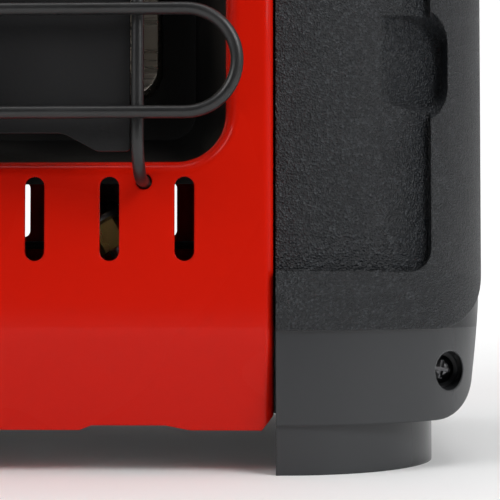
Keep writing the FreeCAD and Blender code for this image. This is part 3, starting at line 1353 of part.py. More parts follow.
def regulator():
    """A swivelling regulator with a socket for a one-pound fuel cylinder, stowed in the bay."""
    post = turned("swivel_post", [
        ("0", "-12"), ("post_size", "-12"), ("post_size", "0"), ("6.4", "0"),
        ("6.4", "arm_height - disc_tall/2 - bay_low - gap"),
        ("post_size", "arm_height - disc_tall/2 - bay_low - gap"),
        ("post_size", "arm_height + disc_tall/2 - bay_low + gap"),
        ("6.4", "arm_height + disc_tall/2 - bay_low + gap"),
        ("6.4", "bay_high - bay_low"), ("0", "bay_high - bay_low"),
    ])
    keep("swivel_post", place(post, "swivel_place", "swivel_y", "bay_low"))

    low = "arm_height - disc_tall/2"
    disc = rod_along("regulator_disc", "Z", "disc_size", "socket_x", "socket_y", low, "disc_tall")
    disc = rounded("regulator_disc_rounded", disc, "2.5", lambda e: e.Length > 60
                   and abs(e.BoundBox.ZMin - value(low)) < 0.1 and e.BoundBox.ZLength < 0.1)
    eye = rod_along("regulator_eye", "Z", "9.5", "swivel_place", "swivel_y", low, "disc_tall")
    arm = doc.addObject("Part::Cylinder", "regulator_arm")
    bind(arm, Radius="6", Height="arm_long")
    place(arm, "swivel_place", "swivel_y", "arm_height")
    way = FreeCAD.Vector(value("socket_x - swivel_place"), value("socket_y - swivel_y"), 0)
    arm.Placement = FreeCAD.Placement(
        arm.Placement.Base, FreeCAD.Rotation(FreeCAD.Vector(0, 0, 1), way))
    hole = rod_along("regulator_eye_bore", "Z", "post_size + running", "swivel_place", "swivel_y",
                     f"{low} - 1", "disc_tall + 2")
    keep("regulator_body", cut("regulator_casting", fuse("regulator_solid", disc, eye, arm), hole))
    cap = turned("regulator_cap", [
        ("1.2", "0"), ("17.5", "0"), ("17.5", "3"), ("15", "5.4"), ("9", "6.2"), ("8", "9", "1"),
        ("1.2", "9"),
    ])
    keep("regulator_cap", place(cap, "socket_x", "socket_y", "arm_height + disc_tall/2"))
    socket = turned("inlet_socket", [
        ("0", "socket_bore + seal_thick"), ("seal_size", "socket_bore + seal_thick"),
        ("seal_size", "socket_bore"), ("thread_radius", "socket_bore"), ("thread_radius", "1"),
        ("thread_radius + 1", "0"), ("thread_radius + 3", "0"), ("thread_radius + 3.6", "1"),
        ("thread_radius + 3.6", "socket_long"), ("0", "socket_long"),
    ])
    keep("inlet_socket", place(socket, "socket_x", "socket_y", "mouth_height"))
    seal = turned("inlet_seal", ring_profile("3.5", "seal_size", "0", "seal_thick"))
    keep("inlet_seal", place(seal, "socket_x", "socket_y", "mouth_height + socket_bore"))


# Handle

def handle():
    """A bail that folds back flat on the top, with a rubber grip on its bar."""
    bar_y = "pivot_y + handle_reach"
    bail = pipe_along("bail_rod", [
        ("-handle_half", "pivot_y - 2", "handle_pivot_height"),
        ("-handle_half", bar_y, "handle_pivot_height"),
        ("handle_half", bar_y, "handle_pivot_height"),
        ("handle_half", "pivot_y - 2", "handle_pivot_height"),
    ], "rod", "handle_bend")
    pieces = [bail]
    for side, start in (("right", "1"), ("left", "-1")):
        near = "handle_half - 4" if side == "right" else "-panel_half + 0.4"
        far = "handle_half - 2" if side == "right" else "-(inboard + 6.5)"
        pieces.append(rod_along(f"bail_eye_{side}", "X", "6", near, "pivot_y",
                                "handle_pivot_height", "panel_half - 0.4 - handle_half + 4"))
        pieces.append(rod_along(f"bail_pin_{side}", "X", "pin_size", far, "pivot_y",
                                "handle_pivot_height", "inboard + 6.5 - handle_half + 2"))
    keep("handle_bail", fuse("bail", *pieces))
    grip = turned("handle_grip", [
        ("rod", "-grip_half"), ("grip_round - 2", "-grip_half", "1"),
        ("grip_round", "-grip_half + 10", "6"), ("grip_round - 0.8", "0", "300"),
        ("grip_round", "grip_half - 10", "6"), ("grip_round - 2", "grip_half", "1"),
        ("rod", "grip_half"),
    ])
    keep("handle_grip", place(grip, "0", bar_y, "handle_pivot_height", axis=(0, 1, 0), angle="90"))


# Screws

def screw(name, head, shank, length):
    """A pan-head screw: its head above its seat, its shank below."""
    made = turned(name, [
        ("0", f"0 - {length}"), (shank, f"0 - {length}"), (shank, "0"), (head, "0"),
        (head, "1.4"), (f"{head} - 1.2", "2.4"), ("0", "2.6"),
    ])
    return made


def screws():
    wells = []
    for side, sign in (("right", 1), ("left", -1)):
        for end in ("front", "rear"):
            made = screw(f"cover_screw_{side}_{end}", "3.9", "1.7", "11")
            like = doc.getObject(f"well_{end}").Placement
            way = like.Rotation.multVec(FreeCAD.Vector(0, 0, 1))
            way.x *= sign
            spot = FreeCAD.Vector(like.Base.x * sign, like.Base.y, like.Base.z)
            made.Placement = FreeCAD.Placement(
                spot, FreeCAD.Rotation(FreeCAD.Vector(0, 0, 1), way))
            wells.append(made)
    keep("cover_screws", group("cover_screw_set", *wells))


def main():
    keep("front_cover", front_cover())
    keep("rear_cover", rear_cover())
    keep("base_pan", base_pan())
    wall = keep("right_bulkhead", bulkhead())
    keep("left_bulkhead", mirrored("left_wall", wall))
    side_covers()
    guard()
    firebox()
    burner()
    pilot()
    heat_shield()
    controls()
    igniter()
    switch()
    regulator()
    pipes()
    handle()
    screws()
    doc.recompute()


def write():
    os.makedirs("parts", exist_ok=True)
    for old in os.listdir("parts"):
        os.remove(os.path.join("parts", old))
    bad = [o.Name for o in doc.Objects if "Invalid" in o.State or "Error" in o.State]
    if bad:
        raise SystemExit(f"objects that failed: {bad}")
    for name, made in parts.items():
        if made.Shape.isNull() or not made.Shape.isValid():
            raise SystemExit(f"{name} has no valid shape")
    for name, made in parts.items():
        made.Shape.exportStep(os.path.join("parts", f"{name}.step"))
        print(name, len(made.Shape.Solids), round(made.Shape.Volume))


main()
write()
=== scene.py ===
import json
import math

import bmesh
import bpy
from mathutils import Matrix, Vector


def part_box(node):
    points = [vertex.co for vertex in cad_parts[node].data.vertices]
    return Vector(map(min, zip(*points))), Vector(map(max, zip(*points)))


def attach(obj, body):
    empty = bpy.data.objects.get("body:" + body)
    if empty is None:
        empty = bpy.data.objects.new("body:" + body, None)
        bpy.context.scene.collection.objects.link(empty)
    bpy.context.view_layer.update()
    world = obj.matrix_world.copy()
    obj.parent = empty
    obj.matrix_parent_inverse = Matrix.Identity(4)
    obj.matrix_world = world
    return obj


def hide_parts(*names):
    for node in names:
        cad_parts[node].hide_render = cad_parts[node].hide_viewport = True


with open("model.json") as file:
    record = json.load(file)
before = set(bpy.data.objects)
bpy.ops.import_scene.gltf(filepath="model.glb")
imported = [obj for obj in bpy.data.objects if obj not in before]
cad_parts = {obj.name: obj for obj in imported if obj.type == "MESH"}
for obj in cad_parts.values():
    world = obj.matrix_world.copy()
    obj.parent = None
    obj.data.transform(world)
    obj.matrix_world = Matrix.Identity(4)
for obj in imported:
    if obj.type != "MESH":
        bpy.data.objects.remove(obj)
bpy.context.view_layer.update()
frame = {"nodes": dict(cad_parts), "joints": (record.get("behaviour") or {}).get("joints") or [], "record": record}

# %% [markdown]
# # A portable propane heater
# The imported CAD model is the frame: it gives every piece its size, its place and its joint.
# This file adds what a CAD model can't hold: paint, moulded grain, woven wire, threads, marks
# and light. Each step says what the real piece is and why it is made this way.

MM = 0.001
nodes = frame["nodes"]
record = frame["record"]
slot_of = {part["node"]: part["material_slot"] for part in record["subparts"]}

# %% [markdown]
# ## Camera
# The view was solved from the photograph: lines that run front to back meet a little right of
# and below the picture's middle, so the camera looks slightly left and slightly up.

# %% Camera
SENSOR_WIDTH = 36.0
NEAREST_SEEN = 0.01
# Place and lens in millimetres, turns in degrees.
CAMERA = {"x": 115.9, "y": -403.8, "z": 43.3, "lens": 96.8, "left": 1.534, "up": 1.96}


def add_camera(spec):
    """The camera that the scene is rendered from."""
    data = bpy.data.cameras.new("photo_camera")
    data.lens = spec["lens"]
    data.sensor_width = SENSOR_WIDTH
    data.clip_start = NEAREST_SEEN
    camera = bpy.data.objects.new("photo_camera", data)
    camera.location = Vector((spec["x"], spec["y"], spec["z"])) * MM
    camera.rotation_euler = (math.radians(90 + spec["up"]), 0.0, math.radians(spec["left"]))
    bpy.context.scene.collection.objects.link(camera)
    bpy.context.scene.camera = camera
    return camera


camera = add_camera(CAMERA)
print("camera at", tuple(round(c, 4) for c in camera.location))

# %% [markdown]
# ## Helpers for node trees
# Materials and geometry trees are both built from nodes, so a few short helpers make, feed and
# join them. Every finish is one Principled shader with plain values on its own sockets. What
# changes over the surface comes from a shared node group that reads the object's coordinates,
# so the pattern sits still on the piece wherever the piece goes.

# %% Helpers for node trees
KINDS = {
    "f": "NodeSocketFloat", "i": "NodeSocketInt", "v": "NodeSocketVector",
    "c": "NodeSocketColor", "m": "NodeSocketMaterial", "g": "NodeSocketGeometry",
}
COAT_ROUGHNESS = 0.06


def new_tree(name, kind, inputs, outputs):
    """An empty group with named inputs (label, kind, value) and outputs (label, kind)."""
    tree = bpy.data.node_groups.new(name, kind)
    for label, letter, value in inputs:
        socket = tree.interface.new_socket(label, in_out="INPUT", socket_type=KINDS[letter])
        if value is not None:
            socket.default_value = value
    for label, letter in outputs:
        tree.interface.new_socket(label, in_out="OUTPUT", socket_type=KINDS[letter])
    return tree, tree.nodes.new("NodeGroupInput"), tree.nodes.new("NodeGroupOutput")


def feed(tree, target, value):
    """Joins a socket to a target socket, or writes a plain value there."""
    if isinstance(value, bpy.types.NodeSocket):
        tree.links.new(value, target)
    else:
        target.default_value = value


def node(tree, kind, feeds=None, **settings):
    """A node with its settings and with its inputs fed by name or number."""
    made = tree.nodes.new(kind)
    for key, value in settings.items():
        setattr(made, key, value)
    for key, value in (feeds or {}).items():
        feed(tree, made.inputs[key], value)
    return made


def maths(tree, operation, *sources):
    """The result of a maths node."""
    return node(tree, "ShaderNodeMath", dict(enumerate(sources)), operation=operation).outputs[0]


def axes(tree, vector):
    """The x, y and z of a vector socket."""
    return node(tree, "ShaderNodeSeparateXYZ", {0: vector}).outputs


def material(name, colour, roughness, metallic=0.0, coat=0.0, specular=0.5):
    """A Principled finish with plain values."""
    made = bpy.data.materials.new(name)
    made.use_nodes = True
    shader = made.node_tree.nodes["Principled BSDF"]
    values = {
        "Base Color": (*colour, 1.0), "Roughness": roughness, "Metallic": metallic,
        "Coat Weight": coat, "Coat Roughness": COAT_ROUGHNESS, "Specular IOR Level": specular,
    }
    for key, value in values.items():
        shader.inputs[key].default_value = value
    return made


def add_effect(made, group, outputs, **values):
    """Puts a shared group into a material with its own values, and feeds the shader from it."""
    tree = made.node_tree
    shader = tree.nodes["Principled BSDF"]
    feeds = {key.replace("_", " "): value for key, value in values.items()}
    effect = node(tree, "ShaderNodeGroup", feeds, node_tree=group)
    for output in outputs:
        target = "Base Color" if output == "Color" else output
        tree.links.new(effect.outputs[output], shader.inputs[target])


print("helpers ready")

# %% [markdown]
# ## Shared surface effects
# - `surface` is for most finishes: two close tones in soft patches, a little change in gloss, a
#   fine grain, and sheet edges rounded by a Bevel node so that rims catch the light.
# - `grain` is the moulded texture of the side covers, with a few lighter grains painted in as
#   glints: painted highlights. The real mould is etched only above a line, so a mask in the
#   object's own height leaves the lower band smooth. A second, broad bump leans the skin back just
#   above that line.
# - `brushed` is the fine drawn line of rolled steel.
# - `perforated` draws the staggered small holes of the ceramic tile: each hole is painted dark, as
#   painted shade in the hole, with a bump at its edge.

# %% Shared surface effects
BEVEL_SAMPLES = 6
PATCH_EDGES = (0.35, 0.65)
FINE_RELIEF = 0.0003
# The skin's lower edge and its round outer corner on a side cover, in metres.
SKIN = {"corner_x": 0.1535, "round": 0.0160, "low": 0.0351, "rise": 0.0464}
ROLL = {"tall": 0.014, "deep": 0.0055}
GRAIN = {"detail": 3.0, "relief": 0.0002, "glints_from": 0.75}
BAND_ROUGHNESS, SKIN_ROUGHNESS = 0.22, 0.35
DRAWN = {"stretch": (30.0, 900.0, 900.0), "strength": 0.08, "relief": 0.0002, "stain": 22.0}
TILE_HOLE = {"strength": 0.6, "relief": 0.0006, "edge": 0.0003}


def object_place(tree):
    """The place on the piece, in metres, which moves with it."""
    return node(tree, "ShaderNodeTexCoord").outputs["Object"]


def noise(tree, vector, scale, detail=2.0):
    """A cloudy value from 0 to 1."""
    made = node(tree, "ShaderNodeTexNoise", {"Vector": vector, "Scale": scale, "Detail": detail})
    return made.outputs["Fac"]


def blended(tree, mask, low, high):
    """A colour that goes from low to high with the mask."""
    return node(tree, "ShaderNodeMix", {0: mask, 6: low, 7: high}, data_type="RGBA").outputs[2]


def spread(tree, value, low, high, start=0.0, stop=1.0, shape="LINEAR"):
    """A number that goes from low to high while the value goes from start to stop."""
    return node(tree, "ShaderNodeMapRange", {
        "Value": value, "From Min": start, "From Max": stop, "To Min": low, "To Max": high,
    }, interpolation_type=shape).outputs["Result"]


def bumped(tree, height, strength, distance, edge_radius):
    """The normal of a bevelled edge with a fine relief on top."""
    bevel = node(tree, "ShaderNodeBevel", {"Radius": edge_radius}, samples=BEVEL_SAMPLES)
    return node(tree, "ShaderNodeBump", {
        "Strength": strength, "Distance": distance, "Height": height,
        "Normal": bevel.outputs["Normal"],
    }).outputs["Normal"]


def patches(tree, where, scale):
    """Soft patches, from 0 to 1."""
    return spread(tree, noise(tree, where, scale), 0.0, 1.0, *PATCH_EDGES)


def put_out(tree, end, **results):
    """Joins each result to the group's output of that name."""
    for label, value in results.items():
        feed(tree, end.inputs[label], value)
    return tree


def surface_group():
    tree, start, end = new_tree("surface", "ShaderNodeTree", [
        ("Dark", "c", (0.1, 0.1, 0.1, 1)), ("Light", "c", (0.2, 0.2, 0.2, 1)),
        ("Patch Size", "f", 40.0), ("Smooth", "f", 0.3), ("Rough", "f", 0.4),
        ("Grain Size", "f", 900.0), ("Grain Depth", "f", 0.1), ("Edge Radius", "f", 0.0003),
    ], [("Color", "c"), ("Roughness", "f"), ("Normal", "v")])
    where = object_place(tree)
    patch = patches(tree, where, start.outputs["Patch Size"])
    fine = noise(tree, where, start.outputs["Grain Size"])
    colour = blended(tree, patch, start.outputs["Dark"], start.outputs["Light"])
    rough = spread(tree, patch, start.outputs["Smooth"], start.outputs["Rough"])
    normal = bumped(
        tree, fine, start.outputs["Grain Depth"], FINE_RELIEF, start.outputs["Edge Radius"])
    return put_out(tree, end, Color=colour, Roughness=rough, Normal=normal)


def above_skin_edge(tree, where):
    """1 on a cover's textured skin, 0 on its smooth band: a level edge with a round corner."""
    x, _, z = axes(tree, where)
    beyond = maths(tree, "SUBTRACT", maths(tree, "ABSOLUTE", x), SKIN["corner_x"])
    past = maths(tree, "MAXIMUM", beyond, 0.0)
    left = maths(tree, "SUBTRACT", SKIN["round"] ** 2, maths(tree, "POWER", past, 2.0))
    arc = maths(tree, "SQRT", maths(tree, "MAXIMUM", left, 0.0))
    edge = maths(tree, "SUBTRACT", SKIN["low"] + SKIN["round"], arc)
    edge = maths(tree, "MINIMUM", edge, SKIN["rise"])
    return maths(tree, "GREATER_THAN", maths(tree, "SUBTRACT", z, edge), 0.0)


def grain_group():
    tree, start, end = new_tree("grain", "ShaderNodeTree", [
        ("Smooth Band", "c", (0.03, 0.0315, 0.034, 1)), ("Skin", "c", (0.005, 0.0065, 0.009, 1)),
        ("Painted Glint", "c", (0.03, 0.034, 0.039, 1)), ("Grain Size", "f", 1900.0),
        ("Grain Depth", "f", 2.6), ("Edge Radius", "f", 0.0008),
    ], [("Color", "c"), ("Roughness", "f"), ("Normal", "v")])
    where = object_place(tree)
    mask = above_skin_edge(tree, where)
    cells = node(tree, "ShaderNodeTexVoronoi", {
        "Vector": where, "Scale": start.outputs["Grain Size"]}, feature="F1")
    cloudy = noise(tree, where, start.outputs["Grain Size"], GRAIN["detail"])
    height = maths(tree, "ADD", cells.outputs["Distance"], cloudy)
    # A few cells get a lighter colour: painted glints, which stand in for the grain's sparkle highlights.
    facet = axes(tree, cells.outputs["Color"])[0]
    bright = spread(tree, facet, 0.0, 1.0, GRAIN["glints_from"], 1.0)
    painted_glint_mask = maths(tree, "MULTIPLY", bright, mask)
    body = blended(tree, mask, start.outputs["Smooth Band"], start.outputs["Skin"])
    colour = blended(tree, painted_glint_mask, body, start.outputs["Painted Glint"])
    rough = spread(tree, mask, BAND_ROUGHNESS, SKIN_ROUGHNESS)
    depth = maths(tree, "MULTIPLY", mask, start.outputs["Grain Depth"])
    normal = bumped(tree, height, depth, GRAIN["relief"], start.outputs["Edge Radius"])
    z = axes(tree, where)[2]
    roll = spread(tree, z, 1.0, 0.0, SKIN["low"], SKIN["low"] + ROLL["tall"])
    rolled = node(tree, "ShaderNodeBump", {
        "Strength": 1.0, "Distance": ROLL["deep"], "Height": roll, "Normal": normal})
    return put_out(tree, end, Color=colour, Roughness=rough, Normal=rolled.outputs["Normal"])


def brushed_group():
    tree, start, end = new_tree("brushed", "ShaderNodeTree", [
        ("Dark", "c", (0.4, 0.4, 0.4, 1)), ("Light", "c", (0.5, 0.5, 0.5, 1)),
        ("Smooth", "f", 0.22), ("Rough", "f", 0.42), ("Edge Radius", "f", 0.0002),
    ], [("Color", "c"), ("Roughness", "f"), ("Normal", "v")])
    where = object_place(tree)
    drawn = node(tree, "ShaderNodeMapping", {"Vector": where, "Scale": DRAWN["stretch"]})
    lines = noise(tree, drawn.outputs["Vector"], 1.0)
    stain = patches(tree, where, DRAWN["stain"])
    colour = blended(tree, stain, start.outputs["Dark"], start.outputs["Light"])
    rough = spread(tree, lines, start.outputs["Smooth"], start.outputs["Rough"])
    normal = bumped(
        tree, lines, DRAWN["strength"], DRAWN["relief"], start.outputs["Edge Radius"])
    return put_out(tree, end, Color=colour, Roughness=rough, Normal=normal)


def perforated_group():
    tree, start, end = new_tree("perforated", "ShaderNodeTree", [
        ("Tile", "c", (0.66, 0.6, 0.5, 1)), ("Painted Hole Shade", "c", (0.05, 0.04, 0.03, 1)),
        ("Pitch", "f", 0.0024), ("Hole", "f", 0.27),
    ], [("Color", "c"), ("Normal", "v")])
    x, _, z = axes(tree, object_place(tree))
    across = maths(tree, "DIVIDE", x, start.outputs["Pitch"])
    up = maths(tree, "DIVIDE", z, start.outputs["Pitch"])
    row = maths(tree, "MODULO", maths(tree, "FLOOR", up), 2.0)
    shifted = maths(tree, "ADD", across, maths(tree, "MULTIPLY", row, 0.5))
    off = [maths(tree, "SUBTRACT", maths(tree, "FRACT", part), 0.5) for part in (shifted, up)]
    squares = [maths(tree, "MULTIPLY", part, part) for part in off]
    far = maths(tree, "SQRT", maths(tree, "ADD", *squares))
    solid = maths(tree, "GREATER_THAN", far, start.outputs["Hole"])
    # The holes are painted dark: painted shade where each hole goes into the tile.
    colour = blended(tree, solid, start.outputs["Painted Hole Shade"], start.outputs["Tile"])
    normal = bumped(
        tree, solid, TILE_HOLE["strength"], TILE_HOLE["relief"], TILE_HOLE["edge"])
    return put_out(tree, end, Color=colour, Normal=normal)


surface = surface_group()
grain = grain_group()
brushed = brushed_group()
perforated = perforated_group()
print("surface effects:", [group.name for group in (surface, grain, brushed, perforated)])

# %% [markdown]
# ## Finishes
# One finish for each material slot of the record. The table holds each finish's dark and light
# tone, its lowest and highest roughness, how small its patches are, how fine and how deep its
# grain is, and the radius of its edges in millimetres. Metals have a Metallic of 1. Enamel and
# the button also have a clear coat. The side covers and the tile have effects of their own.

# %% Finishes
ALL_OUTPUTS = ("Color", "Roughness", "Normal")


def plain_finish(name, dark, light, rough, patch, grains, edge, **more):
    """A finish that takes its colour, roughness and relief from the surface group."""
    made = material(name, light, rough[1], **more)
    add_effect(made, surface, ALL_OUTPUTS, Dark=(*dark, 1.0), Light=(*light, 1.0),
               Patch_Size=patch, Smooth=rough[0], Rough=rough[1], Grain_Size=grains[0],
               Grain_Depth=grains[1], Edge_Radius=edge * MM)
    return made


def steel_finish(name, dark, light, rough, edge):
    """A bare steel finish that takes its drawn lines from the brushed group."""
    made = material(name, light, rough[1], metallic=1.0)
    add_effect(made, brushed, ALL_OUTPUTS, Dark=(*dark, 1.0), Light=(*light, 1.0),
               Smooth=rough[0], Rough=rough[1], Edge_Radius=edge * MM)
    return made


finish = {
    "red": plain_finish(
        "red_enamel", (0.53, 0.0072, 0.0014), (0.56, 0.0082, 0.0016), rough=(0.24, 0.28),
        patch=9.0, grains=(260.0, 0.012), edge=0.8, coat=0.22, specular=0.05),
    "wire": plain_finish(
        "black_wire", (0.009, 0.009, 0.0095), (0.013, 0.013, 0.0135), rough=(0.3, 0.38),
        patch=60.0, grains=(1500.0, 0.12), edge=0.1),
    "shield": plain_finish(
        "black_plate", (0.006, 0.006, 0.0065), (0.009, 0.009, 0.0095), rough=(0.38, 0.46),
        patch=30.0, grains=(1100.0, 0.14), edge=0.35, specular=0.25),
    "pan": plain_finish(
        "pan_coating", (0.004, 0.004, 0.004), (0.009, 0.0085, 0.008), rough=(0.4, 0.6),
        patch=25.0, grains=(900.0, 0.12), edge=0.6, specular=0.15),
    "screen": plain_finish(
        "screen_wire", (0.2, 0.17, 0.14), (0.36, 0.33, 0.3), rough=(0.3, 0.5),
        patch=60.0, grains=(1500.0, 0.1), edge=0.05, metallic=1.0),
    "gasket": plain_finish(
        "fibre_gasket", (0.6, 0.57, 0.5), (0.74, 0.72, 0.66), rough=(0.9, 1.0),
        patch=160.0, grains=(1300.0, 0.7), edge=0.2),
    "brass": plain_finish(
        "brass", (0.58, 0.36, 0.11), (0.76, 0.52, 0.19), rough=(0.22, 0.36),
        patch=70.0, grains=(1300.0, 0.1), edge=0.25, metallic=1.0),
    "zinc": plain_finish(
        "cast_zinc", (0.42, 0.43, 0.45), (0.56, 0.57, 0.59), rough=(0.36, 0.52),
        patch=90.0, grains=(1000.0, 0.35), edge=0.35, metallic=1.0),
    "pipe": plain_finish(
        "pipe_aluminium", (0.66, 0.67, 0.69), (0.78, 0.79, 0.81), rough=(0.22, 0.38),
        patch=50.0, grains=(800.0, 0.08), edge=0.1, metallic=1.0),
    "knob": plain_finish(
        "knob_plastic", (0.011, 0.011, 0.012), (0.016, 0.016, 0.018), rough=(0.36, 0.46),
        patch=50.0, grains=(1800.0, 0.25), edge=0.5),
    "dial": plain_finish(
        "dial_plastic", (0.016, 0.016, 0.018), (0.022, 0.022, 0.024), rough=(0.42, 0.52),
        patch=50.0, grains=(1500.0, 0.25), edge=0.2),
    "button": plain_finish(
        "red_plastic", (0.46, 0.008, 0.005), (0.52, 0.012, 0.007), rough=(0.18, 0.26),
        patch=60.0, grains=(900.0, 0.03), edge=0.5, coat=0.3),
    "insulator": plain_finish(
        "insulator", (0.72, 0.7, 0.65), (0.84, 0.83, 0.79), rough=(0.15, 0.25),
        patch=80.0, grains=(900.0, 0.05), edge=0.2),
    "lead": plain_finish(
        "lead_rubber", (0.02, 0.02, 0.022), (0.034, 0.034, 0.036), rough=(0.5, 0.62),
        patch=60.0, grains=(1200.0, 0.12), edge=0.1),
    "grip": plain_finish(
        "grip_rubber", (0.014, 0.014, 0.015), (0.024, 0.024, 0.025), rough=(0.6, 0.78),
        patch=70.0, grains=(1400.0, 0.5), edge=0.2),
    "seal": plain_finish(
        "seal_rubber", (0.012, 0.012, 0.012), (0.018, 0.018, 0.018), rough=(0.5, 0.64),
        patch=90.0, grains=(1400.0, 0.2), edge=0.1),
    "screws": plain_finish(
        "plated_steel", (0.09, 0.09, 0.095), (0.15, 0.15, 0.155), rough=(0.16, 0.26),
        patch=200.0, grains=(1500.0, 0.08), edge=0.15, metallic=1.0),
    "steel": steel_finish(
        "sheet_steel", (0.4, 0.4, 0.41), (0.5, 0.5, 0.51), rough=(0.26, 0.44), edge=0.2),
    "stainless": steel_finish(
        "stainless", (0.42, 0.36, 0.28), (0.56, 0.53, 0.48), rough=(0.2, 0.38), edge=0.6),
    "moulding": material("charcoal_moulding", (0.02, 0.02, 0.022), 0.42, specular=0.42),
    "ceramic": material("ceramic_tile", (0.66, 0.6, 0.5), 0.9),
}
add_effect(finish["moulding"], grain, ALL_OUTPUTS)
add_effect(finish["ceramic"], perforated, ("Color", "Normal"))

for name, obj in nodes.items():
    obj.data.materials.clear()
    obj.data.materials.append(finish[slot_of[name]])
print("finishes:", len(finish))

# %% [markdown]
# ## Growing repeated pieces
# Wires, screws, ribs and threads repeat, so Geometry Nodes make them. Each tree has named sizes
# and ends in Realize Instances and Set Material. `grow` runs a tree once, keeps the result as a
# plain mesh at the origin, takes the modifier off and lets the piece ride its body.

# %% Growing repeated pieces


def joined(tree, **parts):
    """A vector made from its X, Y and Z."""
    return node(tree, "ShaderNodeCombineXYZ", parts).outputs[0]


def moved(tree, geometry, **how):
    """Geometry after a Translation, Rotation or Scale."""
    return node(tree, "GeometryNodeTransform", {"Geometry": geometry, **how}).outputs[0]


def copied(tree, points, piece, **how):
    """A copy of a piece on each point."""
    return node(tree, "GeometryNodeInstanceOnPoints", {
        "Points": points, "Instance": piece, **how}).outputs[0]


def ride(obj, body):
    """The piece moves with a body."""
    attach(obj, body)
    return obj


def close_tree(tree, start, end, geometry):
    """Ends a geometry tree: loose copies become one mesh, and the mesh gets its finish."""
    whole = node(tree, "GeometryNodeRealizeInstances", {"Geometry": geometry})
    painted = node(tree, "GeometryNodeSetMaterial", {
        "Geometry": whole.outputs[0], "Material": start.outputs["Finish"]})
    feed(tree, end.inputs["Geometry"], painted.outputs[0])
    return tree


def geometry_tree(name, inputs):
    """An empty geometry tree that also takes a finish."""
    inputs = [*inputs, ("Finish", "m", None)]
    return new_tree(name, "GeometryNodeTree", inputs, [("Geometry", "g")])


def grow(name, tree, body, slot, seed=None, place=None, **sizes):
    """A plain mesh from a geometry tree, moved to its place inside its mesh."""
    holder = bpy.data.objects.new(name, seed or bpy.data.meshes.new(f"{name}_seed"))
    bpy.context.scene.collection.objects.link(holder)
    grower = holder.modifiers.new("grow", "NODES")
    grower.node_group = tree
    sockets = {item.name: item.identifier for item in tree.interface.items_tree
               if item.in_out == "INPUT"}
    for label, value in sizes.items():
        grower[sockets[label.replace("_", " ")]] = value
    holder.update_tag()
    ready = bpy.context.evaluated_depsgraph_get()
    mesh = bpy.data.meshes.new_from_object(
        holder.evaluated_get(ready), preserve_all_data_layers=True, depsgraph=ready)
    holder.modifiers.clear()
    holder.data = mesh
    if place is not None:
        mesh.transform(place)
    print(name, "faces:", len(mesh.polygons))
    return ride(holder, body)


def places_mesh(name, spots, facing):
    """A seed mesh of loose points in millimetres, each with the direction that it faces."""
    mesh = bpy.data.meshes.new(name)
    mesh.from_pydata([Vector(spot) * MM for spot in spots], [], [])
    layer = mesh.attributes.new("facing", "FLOAT_VECTOR", "POINT")
    for item, way in zip(layer.data, facing):
        item.vector = way
    return mesh


def round_profile(tree, radius, sides):
    """A circle, for the section of a tube."""
    return node(tree, "GeometryNodeCurvePrimitiveCircle", {
        "Resolution": sides, "Radius": radius}, mode="RADIUS").outputs[0]


def tube_mesh(tree, curve, radius, sides):
    """A curve made round with closed ends."""
    return node(tree, "GeometryNodeCurveToMesh", {
        "Curve": curve, "Profile Curve": round_profile(tree, radius, sides), "Fill Caps": True,
    }).outputs[0]


print("geometry helpers ready")

# %% [markdown]
# ## Woven screen over the tile
# The real screen is woven from stainless wire, over and under. Both sets of wires follow one
# wave, a product of two cosines, with opposite signs, so that one passes over where the other
# passes under. It stands for the CAD model's coarse screen and keeps to its box.

# %% Woven screen over the tile
SCREEN_EDGE = 0.6 * MM
POINTS_PER_PITCH = 4.0
WIRE_SIDES = 5


def woven_screen_tree():
    """Two sets of waved wires, one lying and one standing."""
    tree, start, end = geometry_tree("woven_screen", [
        ("Width", "f", 0.16), ("Height", "f", 0.1), ("Pitch", "f", 0.0036), ("Wire", "f", 0.0005)])
    pitch, wire = start.outputs["Pitch"], start.outputs["Wire"]
    half_turn = maths(tree, "DIVIDE", math.pi, pitch)

    def wires(long, wide, run, step, sign):
        """One set of wires: a line that is cut finely, copied at each pitch and then waved."""
        stop = joined(tree, **{run: long})
        line = node(tree, "GeometryNodeCurvePrimitiveLine", {"End": stop}).outputs[0]
        parts = maths(tree, "MULTIPLY", maths(tree, "DIVIDE", long, pitch), POINTS_PER_PITCH)
        line = node(tree, "GeometryNodeResampleCurve", {
            "Curve": line, "Count": parts}, mode="COUNT").outputs[0]
        whole = maths(tree, "FLOOR", maths(tree, "DIVIDE", wide, pitch))
        rows = node(tree, "GeometryNodeMeshLine", {
            "Count": maths(tree, "ADD", whole, 1.0), "Offset": joined(tree, **{step: pitch})},
            mode="OFFSET").outputs[0]
        loose = node(tree, "GeometryNodeRealizeInstances", {
            "Geometry": copied(tree, rows, line)}).outputs[0]
        x, _, z = axes(tree, node(tree, "GeometryNodeInputPosition").outputs[0])
        waves = [maths(tree, "COSINE", maths(tree, "MULTIPLY", part, half_turn))
                 for part in (x, z)]
        height = maths(tree, "MULTIPLY", maths(tree, "MULTIPLY", *waves),
                       maths(tree, "MULTIPLY", wire, 0.5 * sign))
        waved = node(tree, "GeometryNodeSetPosition", {
            "Geometry": loose, "Offset": joined(tree, Y=height)}).outputs[0]
        return tube_mesh(tree, waved, maths(tree, "MULTIPLY", wire, 0.5), WIRE_SIDES)

    width, height = start.outputs["Width"], start.outputs["Height"]
    both = node(tree, "GeometryNodeJoinGeometry")
    for part in (wires(width, height, "X", "Z", 1.0), wires(height, width, "Z", "X", -1.0)):
        tree.links.new(part, both.inputs[0])
    return close_tree(tree, start, end, both.outputs[0])


screen_low, screen_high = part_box("burner_screen")
screen_spot = Vector((screen_low[0] + SCREEN_EDGE, (screen_low[1] + screen_high[1]) / 2,
                      screen_low[2] + SCREEN_EDGE))
screen = grow(
    "woven_screen", woven_screen_tree(), "case", "screen", place=Matrix.Translation(screen_spot),
    Width=screen_high[0] - screen_low[0] - 2 * SCREEN_EDGE,
    Height=screen_high[2] - screen_low[2] - 2 * SCREEN_EDGE,
    Pitch=3.6 * MM, Wire=0.48 * MM, Finish=finish["screen"],
)
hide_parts("burner_screen")

